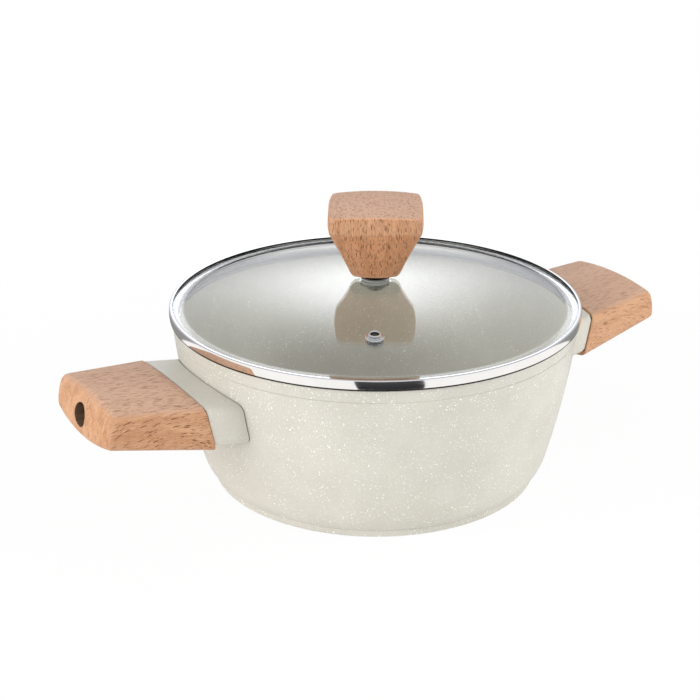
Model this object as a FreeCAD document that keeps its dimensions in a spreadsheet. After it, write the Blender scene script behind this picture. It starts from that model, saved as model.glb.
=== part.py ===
import FreeCAD, Part

import math
import os
from types import SimpleNamespace

import Sketcher
from FreeCAD import Placement, Rotation, Vector

# A two-handled pan with a domed glass lid. Millimetres; the origin is the centre of the underside,
# +Z is up and the two wooden grips lie along X. Every number here becomes a cell of the sheet.
SIZES = {
    # pot: rim, wall and foot
    "rim_radius": 121.5,
    "rim_height": 101.3,
    "rim_round": 0.6,
    "rim_wall": 3.0,
    "trim_line_inset": 0.7,
    "trim_line_drop": 8.7,
    "trim_step": 0.35,
    "wall_bow": 520.0,
    "wall_thickness": 3.6,
    "knuckle_inset": 14.6,
    "knuckle_height": 16.0,
    "knuckle_bow": 27.0,
    "wall_foot_inset": 5.9,
    "wall_foot_rise": 0.7,
    "foot_step": 1.3,
    "foot_height": 4.2,
    "foot_round": 0.8,
    "seat_depth": 6.8,
    "ledge_width": 1.6,
    "base_thickness": 5.0,
    "floor_step": 3.2,
    "floor_round": 14.0,
    # induction plate pressed into the underside
    "foot_ring_width": 11.0,
    "plate_thickness": 1.0,
    "plate_lift": 0.3,
    "plate_gap": 0.2,
    # handle: wooden grip
    "seam_standoff": 14.2,
    "seam_lean": 5.4,
    "seam_bow": 1.3,
    "grip_length": 50.2,
    "end_nose": 7.3,
    "end_nose_drop": 16.1,
    "end_barrel": 33.7,
    "end_bow": 2.65,
    "grip_seam_half_width": 41.8,
    "grip_narrowing": 5.2,
    "grip_drop": 18.6,
    "grip_rise": 4.5,
    "grip_seam_depth": 24.8,
    "grip_end_depth": 19.1,
    "grip_top_crown": 3.7,
    "grip_bottom_crown": 5.4,
    "grip_side_round": 4.5,
    "grip_end_round": 2.6,
    "grip_seam_round": 0.6,
    # handle: bracket and pad
    "bracket_inset": 0.6,
    "bracket_step": 1.3,
    "bracket_slope": 0.15,
    "bracket_wall": 2.0,
    "bracket_end_wall": 4.0,
    "bracket_wall_gap": 0.3,
    "bracket_seam_round": 0.5,
    "pad_thickness": 0.5,
    "pad_inset": 1.3,
    # handle: stud, screw and washers
    "screw_drop": 5.7,
    "screw_radius": 1.95,
    "screw_hole_radius": 2.4,
    "screw_engagement": 5.3,
    "screw_head_radius": 3.6,
    "screw_head_height": 3.2,
    "hex_key_radius": 1.75,
    "hex_key_depth": 2.2,
    "thread_gap": 0.05,
    "stud_radius": 3.8,
    "stud_thread_depth": 13.0,
    "access_radius": 6.7,
    "access_clearance": 0.4,
    "screw_seat_depth": 28.0,
    "screw_pocket_radius": 5.7,
    "flat_washer_radius": 5.3,
    "flat_washer_thickness": 1.0,
    "spring_washer_radius": 4.2,
    "spring_washer_thickness": 1.3,
    "spring_washer_slit": 12.0,
    "washer_gap": 0.25,
    # lid: glass and steel band
    "lid_turn": -32.5,
    "band_overhang": 1.5,
    "band_sheet": 0.6,
    "band_hem": 0.9,
    "band_lip": 2.7,
    "band_round": 0.8,
    "band_lip_round": 0.35,
    "skirt_gap": 0.8,
    "skirt_drop": 5.0,
    "glass_thickness": 4.0,
    "glass_edge_gap": 0.2,
    "dome_inset": 8.0,
    "dome_rise": 14.9,
    "dome_blend": 10.0,
    # lid: steam vent
    "vent_inset": 36.0,
    "vent_bore_radius": 2.3,
    "vent_tube_radius": 3.1,
    "vent_tube_gap": 0.3,
    "vent_collar_radius": 3.7,
    "vent_collar_height": 3.0,
    "vent_flange_radius": 5.4,
    "vent_flange_height": 1.1,
    "vent_flange_round": 0.4,
    "vent_washer_radius": 5.2,
    "vent_washer_thickness": 0.8,
    "vent_roll_radius": 4.4,
    "vent_roll_height": 0.6,
    "vent_gap": 0.05,
    # lid: knob and what holds it
    "knob_half_width": 28.2,
    "knob_side_bow": 1.3,
    "knob_corner_share": 0.12,
    "knob_brim_inset": 0.7,
    "knob_narrowing": 12.7,
    "knob_foot_bow_share": 0.21935484,
    "knob_foot_corner_share": 0.1,
    "knob_taper_height": 30.0,
    "knob_band_height": 12.0,
    "knob_crown": 1.7,
    "knob_waist_round": 10.0,
    "knob_edge_round": 1.2,
    "seat_radius": 8.9,
    "seat_neck_radius": 5.6,
    "seat_flange_height": 1.0,
    "seat_height": 4.6,
    "seat_round": 0.5,
    "gasket_radius": 8.5,
    "gasket_thickness": 0.6,
    "lid_screw_radius": 2.45,
    "lid_screw_hole_radius": 3.0,
    "lid_screw_length": 22.0,
    "lid_screw_head_radius": 4.7,
    "lid_screw_head_height": 3.2,
    "lid_hole_radius": 4.0,
    "lid_washer_radius": 9.5,
    "lid_washer_thickness": 1.2,
    "insert_radius": 4.5,
    "insert_length": 14.0,
}

# Sizes that follow from the others; each one is a formula in the same sheet.
RULES = {
    "trim_line_radius": "rim_radius - trim_line_inset",
    "trim_line_height": "rim_height - trim_line_drop",
    "knuckle_radius": "trim_line_radius - knuckle_inset",
    "wall_foot_radius": "knuckle_radius - wall_foot_inset",
    "foot_radius": "wall_foot_radius - foot_step",
    "plate_radius": "foot_radius - foot_ring_width",
    "seam_top_reach": "trim_line_radius + seam_standoff",
    "end_top_reach": "seam_top_reach + grip_length",
    "grip_end_half_width": "grip_seam_half_width - grip_narrowing",
    "grip_seam_top": "rim_height - grip_drop",
    "grip_end_top": "grip_seam_top + grip_rise",
    "grip_seam_bottom": "grip_seam_top - grip_seam_depth",
    "grip_end_bottom": "grip_end_top - grip_end_depth",
    "bracket_seam_bottom": "grip_seam_bottom + bracket_step",
    "screw_height": "grip_seam_top - screw_drop",
    "screw_seat_reach": "seam_top_reach + screw_seat_depth",
    "band_radius": "rim_radius + band_overhang",
    "dome_radius": "band_radius - dome_inset",
    "vent_distance": "dome_radius - vent_inset",
    "knob_foot_half_width": "knob_half_width - knob_narrowing",
    "knob_foot_bow": "knob_foot_half_width * knob_foot_bow_share",
}

THROUGH = 400.0  # reach of cuts that run right through a piece
OVERRUN = 0.3    # how far a blank runs on past a cut face, as a share of its half width
SPREAD = 1.5     # half width of a cutting outline, as a share of the piece's own
TOUCH = 0.001    # how far apart two places are that count as the same


# ---------------------------------------------------------------- sizes and their expressions

class Size:
    """A number of the model together with the sheet expression that it follows."""

    def __init__(self, value, text):
        self.value = float(value)
        self.text = text

    def __add__(self, other):
        other = as_size(other)
        return Size(self.value + other.value, f"({self.text} + {other.text})")

    def __sub__(self, other):
        other = as_size(other)
        return Size(self.value - other.value, f"({self.text} - {other.text})")

    def __mul__(self, other):
        other = as_size(other)
        return Size(self.value * other.value, f"({self.text} * {other.text})")

    def __truediv__(self, other):
        other = as_size(other)
        return Size(self.value / other.value, f"({self.text} / {other.text})")

    def __neg__(self):
        return Size(-self.value, f"(0 - {self.text})")


def as_size(number):
    """A plain number as a Size."""
    return number if isinstance(number, Size) else Size(number, repr(float(number)))


def root(size):
    """Square root of a Size."""
    return Size(math.sqrt(size.value), f"sqrt({size.text})")


ZERO = as_size(0.0)


def arc_radius(half_chord, rise):
    """Radius of the arc that rises by rise over a chord of twice half_chord."""
    return (half_chord * half_chord + rise * rise) / (rise * 2)


def sag(radius, across):
    """How far a circle of this radius has dropped at a distance across from its top."""
    return radius - root(radius * radius - across * across)


def make_sheet(doc):
    """The spreadsheet of driving dimensions and of those that follow from them, for use in Python."""
    sheet = doc.addObject("Spreadsheet::Sheet", "Sizes")
    cells = {**SIZES, **{name: "=" + rule for name, rule in RULES.items()}}
    for row, (name, content) in enumerate(cells.items(), start=1):
        sheet.set(f"A{row}", name)
        sheet.set(f"B{row}", str(content))
        sheet.setAlias(f"B{row}", name)
    doc.recompute()
    return SimpleNamespace(**{name: Size(sheet.get(name), f"Sizes.{name}") for name in cells})


# ---------------------------------------------------------------- sketches and features

def new_body(doc, name):
    """An empty body whose label names its file."""
    body = doc.addObject("PartDesign::Body", name)
    body.Label = name
    return body


def new_sketch(body, name, role, lift=ZERO):
    """A sketch on one of the body's own origin planes, moved by lift along the plane's normal."""
    plane = [feature for feature in body.Origin.OriginFeatures if feature.Role == role][0]
    sketch = body.newObject("Sketcher::SketchObject", name)
    sketch.AttachmentSupport = [(plane, "")]
    sketch.MapMode = "FlatFace"
    sketch.AttachmentOffset = Placement(Vector(0, 0, lift.value), Rotation())
    sketch.setExpression("AttachmentOffset.Base.z", lift.text)
    return sketch


def pin(sketch, vertex, direction, size):
    """Hold a vertex at a distance from the sketch's origin along one axis."""
    if size.value == 0.0:
        axis = -2 if direction == "DistanceX" else -1
        sketch.addConstraint(Sketcher.Constraint("PointOnObject", *vertex, axis))
        return
    origin = (-1, 1)
    if size.value < 0.0:
        number = sketch.addConstraint(Sketcher.Constraint(direction, *vertex, *origin, -size.value))
        sketch.setExpression(f"Constraints[{number}]", (-size).text)
    else:
        number = sketch.addConstraint(Sketcher.Constraint(direction, *origin, *vertex, size.value))
        sketch.setExpression(f"Constraints[{number}]", size.text)


def arc_between(here, there, radius, turn):
    """The arc of a circle from here to there; turn 1 curves to the left of the way, -1 to the right."""
    way = there - here
    half = way.Length / 2
    depth = math.sqrt(max(radius * radius - half * half, 0.0))
    left = Vector(-way.y, way.x, 0).normalize()
    centre = here + way * 0.5 + left * (depth * turn)
    start, end = (here, there) if turn > 0 else (there, here)
    first = math.atan2(start.y - centre.y, start.x - centre.x)
    last = math.atan2(end.y - centre.y, end.x - centre.x)
    return Part.ArcOfCircle(Part.Circle(centre, Vector(0, 0, 1), radius), first, last)


def add_outline(sketch, corners):
    """Draw a closed outline. A corner is (across, up), or (across, up, radius, turn) where an arc
    leads on to the next corner."""
    corners = [tuple(as_size(part) for part in corner) for corner in corners]
    points = [Vector(corner[0].value, corner[1].value, 0) for corner in corners]
    starts = []
    ends = []
    for index, corner in enumerate(corners):
        here = points[index]
        there = points[(index + 1) % len(points)]
        first, last = 1, 2
        if len(corner) == 2:
            number = sketch.addGeometry(Part.LineSegment(here, there))
        else:
            radius, turn = corner[2], corner[3].value
            number = sketch.addGeometry(arc_between(here, there, radius.value, turn))
            rule = sketch.addConstraint(Sketcher.Constraint("Radius", number, radius.value))
            sketch.setExpression(f"Constraints[{rule}]", radius.text)
            if turn < 0:
                first, last = 2, 1
        starts.append((number, first))
        ends.append((number, last))
    for index, corner in enumerate(corners):
        sketch.addConstraint(Sketcher.Constraint("Coincident", *ends[index - 1], *starts[index]))
        pin(sketch, starts[index], "DistanceX", corner[0])
        pin(sketch, starts[index], "DistanceY", corner[1])


def add_circle(sketch, across, up, radius):
    """Draw a circle round a point of the sketch."""
    circle = Part.Circle(Vector(across.value, up.value, 0), Vector(0, 0, 1), radius.value)
    number = sketch.addGeometry(circle)
    rule = sketch.addConstraint(Sketcher.Constraint("Radius", number, radius.value))
    sketch.setExpression(f"Constraints[{rule}]", radius.text)
    pin(sketch, (number, 3), "DistanceX", across)
    pin(sketch, (number, 3), "DistanceY", up)


def turned(body, name, corners, kind="Revolution", angle=360.0):
    """Turn an outline in the XZ plane about the body's Z axis, adding to the body or cutting it."""
    sketch = new_sketch(body, name + "_outline", "XZ_Plane")
    add_outline(sketch, corners)
    feature = body.newObject("PartDesign::" + kind, name)
    feature.Profile = sketch
    feature.ReferenceAxis = (sketch, ["V_Axis"])
    feature.Angle = angle
    return feature


def drilled(body, name, role, centre, radius, start, depth):
    """A round pocket that goes from start against the plane's normal by depth."""
    sketch = new_sketch(body, name + "_outline", role, start)
    add_circle(sketch, centre[0], centre[1], radius)
    feature = body.newObject("PartDesign::Pocket", name)
    feature.Profile = sketch
    feature.setExpression("Length", depth.text)
    return feature


def rounded(body, name, base, edges, radius):
    """Fillet the edges, given by number, of the base feature."""
    feature = body.newObject("PartDesign::Fillet", name)
    feature.Base = (base, [f"Edge{number}" for number in edges])
    feature.Radius = radius.value
    feature.setExpression("Radius", radius.text)
    body.Document.recompute()
    return feature


def edges_where(feature, test):
    """Numbers of the feature's edges that pass the test."""
    return [number for number, edge in enumerate(feature.Shape.Edges, start=1) if test(edge)]


def ring_edges(feature, radius, height):
    """Numbers of the full circles about Z with this radius at this height."""
    def is_ring(edge):
        box = edge.BoundBox
        flat = abs(box.ZMin - height.value) < TOUCH and abs(box.ZMax - height.value) < TOUCH
        return flat and abs(box.XMax - radius.value) < TOUCH and abs(box.XMin + radius.value) < TOUCH
    return edges_where(feature, is_ring)


def put(body, placement):
    """Place a finished body."""
    body.Placement = placement


# ---------------------------------------------------------------- pot

def make_pot_body(doc, s):
    """Coated cast pot: foot, bowed wall, stepped rim, seat for the lid and a recess underneath."""
    body = new_body(doc, "pot_body")
    recess = s.plate_radius + s.plate_gap
    recess_top = s.plate_lift + s.plate_thickness
    rim_inside = s.rim_radius - s.rim_wall
    ledge_height = s.rim_height - s.seat_depth
    shell = turned(body, "pot_shell", [
        (ZERO, recess_top),
        (recess, recess_top),
        (recess, ZERO),
        (s.foot_radius, ZERO),
        (s.foot_radius, s.foot_height),
        (s.wall_foot_radius, s.foot_height + s.wall_foot_rise, s.knuckle_bow, 1),
        (s.knuckle_radius, s.knuckle_height, s.wall_bow, 1),
        (s.trim_line_radius, s.trim_line_height),
        (s.trim_line_radius - s.trim_step, s.trim_line_height + s.trim_step),
        (s.rim_radius, s.rim_height),
        (rim_inside, s.rim_height),
        (rim_inside, ledge_height),
        (rim_inside - s.ledge_width, ledge_height, s.wall_bow - s.wall_thickness, -1),
        (s.knuckle_radius - s.wall_thickness - s.floor_step, s.base_thickness),
        (ZERO, s.base_thickness),
    ])
    doc.recompute()
    floor_corner = ring_edges(shell, s.knuckle_radius - s.wall_thickness - s.floor_step, s.base_thickness)
    floor = rounded(body, "floor_fillet", shell, floor_corner, s.floor_round)
    foot = rounded(body, "foot_fillet", floor, ring_edges(floor, s.foot_radius, ZERO), s.foot_round)
    rim_rings = ring_edges(foot, s.rim_radius, s.rim_height) + ring_edges(foot, rim_inside, s.rim_height)
    rounded(body, "rim_fillet", foot, rim_rings, s.rim_round)
    return body


def make_induction_plate(doc, s):
    """Steel disc pressed into the underside, a little above what the pan stands on."""
    body = new_body(doc, "induction_plate")
    turned(body, "plate_disc", [
        (ZERO, s.plate_lift),
        (s.plate_radius, s.plate_lift),
        (s.plate_radius, s.plate_lift + s.plate_thickness),
        (ZERO, s.plate_lift + s.plate_thickness),
    ])
    return body


# ---------------------------------------------------------------- handles

# The handle's pieces are built for the +X side. side is 1 for that one and -1 for its twin, which
# is the same piece turned half round the pot's axis.

def side_placement(side):
    """Half a turn about Z for the handle on the -X side."""
    return Placement(Vector(0, 0, 0), Rotation(Vector(0, 0, 1), 0.0 if side > 0 else 180.0))


def side_name(side, name):
    """Node name of a handle's piece."""
    return ("right_" if side > 0 else "left_") + name


def along(s, reach, seam_value, end_value):
    """A size that goes evenly from the seam to the handle's end."""
    share = (reach - s.seam_top_reach) / (s.end_top_reach - s.seam_top_reach)
    return seam_value + (end_value - seam_value) * share


def grip_section(s, reach, inset):
    """Half width, top and bottom of the wooden grip's cross-section at a distance from the axis."""
    half_width = along(s, reach, s.grip_seam_half_width, s.grip_end_half_width) - inset
    top = along(s, reach, s.grip_seam_top, s.grip_end_top) - inset
    bottom = along(s, reach, s.grip_seam_bottom, s.grip_end_bottom) + inset
    return half_width, top, bottom


def bracket_section(s, inset):
    """The same for the bracket at the seam; it keeps this section and sinks towards the pot."""
    half_width = s.grip_seam_half_width - inset
    top = s.grip_seam_top - inset
    bottom = s.bracket_seam_bottom + inset
    return half_width, top, bottom


def add_section(s, body, name, reach, section):
    """Sketch of a cross-section: upright sides, a crowned top and a crowned underside."""
    half_width, top, bottom = section
    sketch = new_sketch(body, name, "YZ_Plane", reach)
    over = arc_radius(half_width, s.grip_top_crown)
    under = arc_radius(half_width, s.grip_bottom_crown)
    add_outline(sketch, [
        (half_width, bottom),
        (half_width, top, over, 1),
        (-half_width, top),
        (-half_width, bottom, under, 1),
    ])
    return sketch


def add_loft(s, body, name, section_of, inset, first_reach, last_reach, kind="AdditiveLoft"):
    """Straight loft between the cross-sections at two distances from the axis."""
    first = add_section(s, body, name + "_first", first_reach, section_of(s, first_reach, inset))
    last = add_section(s, body, name + "_last", last_reach, section_of(s, last_reach, inset))
    loft = body.newObject("PartDesign::" + kind, name)
    loft.Profile = first
    loft.Sections = [last]
    loft.Ruled = True
    doc = body.Document
    doc.recompute()
    return loft


def add_prism(s, body, name, inset, reach, kind="Pad"):
    """Bar with the bracket's section that runs from reach inwards and sinks on its way."""
    sketch = add_section(s, body, name + "_section", reach, bracket_section(s, inset))
    drop = (s.seam_top_reach - reach) * s.bracket_slope
    sketch.setExpression("AttachmentOffset.Base.y", (-drop).text)
    bar = body.newObject("PartDesign::" + kind, name)
    bar.Profile = sketch
    bar.UseCustomVector = True
    bar.AlongSketchNormal = True
    bar.Direction = Vector(-1, 0, -s.bracket_slope.value)
    bar.setExpression("Length", s.grip_seam_half_width.text)
    body.Document.recompute()
    return bar


def trim(s, body, name, top_reach, lean, bow, top, bottom, beyond):
    """Cut the handle's piece off along a bowed, leaning face. lean is how much further out the face
    is at its bottom than at its top; beyond is 1 to cut what lies outside it and -1 inside it."""
    slope = lean / (bottom - top)
    reach_at_zero = top_reach - slope * top
    half_span = s.grip_seam_half_width * SPREAD
    span_bow = arc_radius(s.grip_seam_half_width, bow)
    set_back = sag(span_bow, half_span) - bow
    edge = reach_at_zero - set_back
    far = edge + s.grip_seam_half_width * (2 * beyond)
    sketch = new_sketch(body, name + "_outline", "XY_Plane")
    add_outline(sketch, [
        (edge, -half_span, span_bow, 1),
        (edge, half_span),
        (far, half_span),
        (far, -half_span),
    ])
    pocket = body.newObject("PartDesign::Pocket", name)
    pocket.Profile = sketch
    pocket.UseCustomVector = True
    pocket.AlongSketchNormal = False
    pocket.Direction = Vector(slope.value, 0, 1)
    pocket.Type = "Length"
    pocket.Length = THROUGH
    body.Document.recompute()
    return pocket


def seam_trim(s, body, name, shift, beyond):
    """Trim along the seam between bracket and grip, moved outwards by shift."""
    return trim(s, body, name, s.seam_top_reach + shift, -s.seam_lean, s.seam_bow,
                s.grip_seam_top, s.grip_seam_bottom, beyond)


def end_cut(s, body):
    """Cut the grip off at its outer end, which is barrelled upright and bowed across."""
    across = arc_radius(s.grip_seam_half_width, s.end_bow)
    middle = s.grip_end_top - s.end_nose_drop
    inner = across - sag(s.end_barrel, s.grip_seam_depth)
    outer = across + s.grip_seam_half_width
    cut = turned(body, "grip_outer_end", [
        (-inner, middle + s.grip_seam_depth, s.end_barrel, 1),
        (-inner, middle - s.grip_seam_depth),
        (-outer, middle - s.grip_seam_depth),
        (-outer, middle + s.grip_seam_depth),
    ], kind="Groove")
    axis = s.end_top_reach + s.end_nose - across
    cut.Profile[0].AttachmentOffset = Placement(Vector(axis.value, 0, 0), Rotation())
    cut.Profile[0].setExpression("AttachmentOffset.Base.x", axis.text)
    body.Document.recompute()


def wall_cut(s, body, gap):
    """Cut away what lies within gap of the pot's outer wall."""
    turned(body, "wall_cut", [
        (ZERO, s.knuckle_height),
        (s.knuckle_radius + gap, s.knuckle_height, s.wall_bow + gap, 1),
        (s.trim_line_radius + gap, s.trim_line_height),
        (ZERO, s.trim_line_height),
    ], kind="Groove")


def long_edges(feature, half_width_least):
    """Numbers of a loft's four long corner edges."""
    def is_long(edge):
        box = edge.BoundBox
        outside = min(abs(box.YMin), abs(box.YMax)) > half_width_least
        return outside and box.XLength > box.ZLength and box.XLength > box.YLength
    return edges_where(feature, is_long)


def end_edges(feature, least_reach):
    """Numbers of the edges that lie wholly beyond a distance from the axis."""
    return edges_where(feature, lambda edge: edge.BoundBox.XMin > least_reach)


def start_edges(feature, most_reach):
    """Numbers of the edges that lie wholly within a distance of the axis."""
    return edges_where(feature, lambda edge: edge.BoundBox.XMax < most_reach.value)


def seam_face_reach(s):
    """A distance from the axis that only the seam face's edges lie wholly beyond."""
    return (s.seam_top_reach - s.seam_lean * 1.5).value


def make_stud(doc, s, side):
    """Threaded stud welded to the pot's wall, up to the bracket's end wall."""
    body = new_body(doc, side_name(side, "stud"))
    tip = s.seam_top_reach - s.seam_lean - s.bracket_end_wall
    sketch = new_sketch(body, "stud_outline", "YZ_Plane", tip)
    add_circle(sketch, ZERO, s.screw_height, s.stud_radius)
    pad = body.newObject("PartDesign::Pad", "stud_bar")
    pad.Profile = sketch
    pad.Reversed = True
    pad.setExpression("Length", (tip - s.knuckle_radius).text)
    wall_cut(s, body, ZERO)
    drilled(body, "stud_thread", "YZ_Plane", (ZERO, s.screw_height), s.screw_radius + s.thread_gap,
            tip, s.stud_thread_depth)
    put(body, side_placement(side))
    return body


def make_bracket(doc, s, side):
    """Hollow coated bracket between the wall and the grip, open towards the pot."""
    body = new_body(doc, side_name(side, "bracket"))
    block = add_prism(s, body, "bracket_block", s.bracket_inset, s.seam_top_reach + s.seam_lean)
    rounded(body, "bracket_rounding", block, long_edges(block, s.grip_end_half_width.value),
            s.grip_side_round)
    ended = seam_trim(s, body, "bracket_end", -s.pad_thickness / 2, 1)
    rounded(body, "bracket_seam_rounding", ended, end_edges(ended, seam_face_reach(s)), s.bracket_seam_round)
    wall_cut(s, body, s.bracket_wall_gap)
    inner_end = s.seam_top_reach - s.seam_lean - s.bracket_end_wall
    add_prism(s, body, "bracket_cavity", s.bracket_inset + s.bracket_wall, inner_end, kind="Pocket")
    drilled(body, "bracket_hole", "YZ_Plane", (ZERO, s.screw_height), s.screw_hole_radius,
            s.end_top_reach, s.end_top_reach - s.knuckle_radius)
    put(body, side_placement(side))
    return body


def make_pad(doc, s, side):
    """Thin dark pad that keeps the bracket's heat from the wood."""
    body = new_body(doc, side_name(side, "pad"))
    add_prism(s, body, "pad_block", s.pad_inset, s.seam_top_reach + s.seam_lean)
    seam_trim(s, body, "pad_outside", s.pad_thickness / 2, 1)
    seam_trim(s, body, "pad_inside", -s.pad_thickness / 2, -1)
    drilled(body, "pad_hole", "YZ_Plane", (ZERO, s.screw_height), s.screw_hole_radius,
            s.end_top_reach, s.end_top_reach - s.knuckle_radius)
    put(body, side_placement(side))
    return body


def make_grip(doc, s, side):
    """Wooden grip: crowned block with bowed ends, an access bore and a hole for the screw."""
    body = new_body(doc, side_name(side, "grip"))
    first = s.seam_top_reach - s.seam_lean - s.grip_seam_half_width * OVERRUN
    last = s.end_top_reach + s.end_nose + s.grip_end_half_width * OVERRUN
    add_loft(s, body, "grip_block", grip_section, ZERO, first, last)
    seam_trim(s, body, "grip_seam_end", s.pad_thickness / 2, -1)
    end_cut(s, body)
    block = body.Tip
    sides = rounded(body, "grip_side_rounding", block,
                    long_edges(block, s.grip_end_half_width.value * 0.9), s.grip_side_round)
    ends = rounded(body, "grip_end_rounding", sides,
                   end_edges(sides, s.end_top_reach.value - s.grip_side_round.value * 2), s.grip_end_round)
    rounded(body, "grip_seam_rounding", ends, start_edges(ends, s.seam_top_reach + s.seam_bow * 2),
            s.grip_seam_round)
    beyond = s.end_top_reach + s.grip_end_half_width
    head = s.flat_washer_thickness + s.spring_washer_thickness + s.screw_head_height
    pocket_mouth = s.screw_seat_reach + head + s.access_clearance
    drilled(body, "grip_access", "YZ_Plane", (ZERO, s.screw_height), s.access_radius,
            beyond, beyond - pocket_mouth)
    drilled(body, "grip_screw_pocket", "YZ_Plane", (ZERO, s.screw_height), s.screw_pocket_radius,
            beyond, beyond - s.screw_seat_reach)
    drilled(body, "grip_screw_hole", "YZ_Plane", (ZERO, s.screw_height), s.screw_hole_radius,
            s.end_top_reach, s.end_top_reach - s.knuckle_radius)
    put(body, side_placement(side))
    return body


def screw_line_placement(s, side, reach):
    """Places a piece turned about its own Z on the screw's line, its Z pointing away from the pot."""
    lie_down = Placement(Vector(reach.value, 0, s.screw_height.value), Rotation(Vector(0, 1, 0), 90.0))
    return side_placement(side) * lie_down


def washer_outline(hole, outside, thickness):
    """Outline of a flat ring that lies on the XY plane."""
    return [(hole, ZERO), (outside, ZERO), (outside, thickness), (hole, thickness)]


def make_flat_washer(doc, s, side):
    """Flat washer on the bottom of the access bore."""
    body = new_body(doc, side_name(side, "flat_washer"))
    turned(body, "washer_ring", washer_outline(s.screw_radius + s.washer_gap, s.flat_washer_radius,
                                               s.flat_washer_thickness))
    put(body, screw_line_placement(s, side, s.screw_seat_reach))
    return body


def make_spring_washer(doc, s, side):
    """Split spring washer between the flat washer and the screw's head."""
    body = new_body(doc, side_name(side, "spring_washer"))
    ring = turned(body, "spring_ring", washer_outline(s.screw_radius + s.washer_gap,
                                                      s.spring_washer_radius,
                                                      s.spring_washer_thickness))
    ring.setExpression("Angle", (as_size(360.0) - s.spring_washer_slit).text)
    put(body, screw_line_placement(s, side, s.screw_seat_reach + s.flat_washer_thickness))
    return body


def hex_pocket(body, name, corner_radius, start, depth):
    """Six-sided socket cut down from a face at height start."""
    sketch = new_sketch(body, name + "_outline", "XY_Plane", start)
    half = corner_radius / 2
    high = corner_radius * math.sqrt(3) / 2
    add_outline(sketch, [
        (corner_radius, ZERO),
        (half, high),
        (-half, high),
        (-corner_radius, ZERO),
        (-half, -high),
        (half, -high),
    ])
    feature = body.newObject("PartDesign::Pocket", name)
    feature.Profile = sketch
    feature.setExpression("Length", depth.text)
    return feature


def screw_outline(shank, length, head, head_height):
    """Outline of a screw whose head stands on the XY plane and whose shank goes down."""
    return [(ZERO, -length), (shank, -length), (shank, ZERO), (head, ZERO), (head, head_height),
            (ZERO, head_height)]


def make_screw(doc, s, side):
    """Socket screw that draws grip, pad and bracket on to the stud."""
    body = new_body(doc, side_name(side, "screw"))
    stack = s.flat_washer_thickness + s.spring_washer_thickness
    length = s.screw_seat_depth + stack + s.seam_lean + s.bracket_end_wall + s.screw_engagement
    turned(body, "screw_bar", screw_outline(s.screw_radius, length, s.screw_head_radius,
                                            s.screw_head_height))
    hex_pocket(body, "screw_socket", s.hex_key_radius, s.screw_head_height, s.hex_key_depth)
    put(body, screw_line_placement(s, side, s.screw_seat_reach + stack))
    return body


# ---------------------------------------------------------------- lid

def lid_levels(s):
    """Heights and radii that the lid's pieces share."""
    glass_bottom = s.rim_height + s.band_sheet
    glass_top = glass_bottom + s.glass_thickness
    crown = glass_top + s.dome_rise
    under_radius = s.dome_radius - s.glass_thickness / 4
    return SimpleNamespace(
        glass_bottom=glass_bottom,
        glass_top=glass_top,
        crown=crown,
        under_crown=crown - s.glass_thickness,
        under_radius=under_radius,
        dome_bow=arc_radius(s.dome_radius, s.dome_rise),
        under_bow=arc_radius(under_radius, s.dome_rise),
        band_top=glass_top + s.band_hem,
    )


def lid_placement(s):
    """The lid stands turned about Z on the pot."""
    return Placement(Vector(0, 0, 0), Rotation(Vector(0, 0, 1), s.lid_turn.value))


def vent_place(s):
    """Origin of the vent on the dome, in the lid's own frame, and its lean in degrees."""
    level = lid_levels(s)
    height = level.crown - sag(level.dome_bow, s.vent_distance)
    lean = math.degrees(math.asin(s.vent_distance.value / level.dome_bow.value))
    return Placement(Vector(0, -s.vent_distance.value, height.value), Rotation(Vector(1, 0, 0), lean))


def make_lid_glass(doc, s):
    """Tempered glass disc: flat edge, domed middle, one hole for the knob and one for the vent."""
    level = lid_levels(s)
    edge = s.band_radius - s.band_sheet - s.glass_edge_gap
    body = new_body(doc, "lid_glass")
    disc = turned(body, "glass_disc", [
        (ZERO, level.under_crown, level.under_bow, -1),
        (level.under_radius, level.glass_bottom),
        (edge, level.glass_bottom),
        (edge, level.glass_top),
        (s.dome_radius, level.glass_top, level.dome_bow, 1),
        (ZERO, level.crown),
    ])
    doc.recompute()
    blend = ring_edges(disc, s.dome_radius, level.glass_top)
    blend += ring_edges(disc, level.under_radius, level.glass_bottom)
    rounded(body, "dome_blend", disc, blend, s.dome_blend)
    drilled(body, "knob_hole", "XY_Plane", (ZERO, ZERO), s.lid_hole_radius, level.crown,
            s.glass_thickness * 2)
    sketch = new_sketch(body, "vent_hole_outline", "XY_Plane")
    sketch.setExpression("AttachmentOffset.Base.z", None)
    sketch.AttachmentOffset = vent_place(s)
    add_circle(sketch, ZERO, ZERO, s.vent_tube_radius + s.vent_tube_gap)
    hole = body.newObject("PartDesign::Pocket", "vent_hole")
    hole.Profile = sketch
    hole.Midplane = True
    hole.setExpression("Length", (s.glass_thickness * 4).text)
    put(body, lid_placement(s))
    return body


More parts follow.
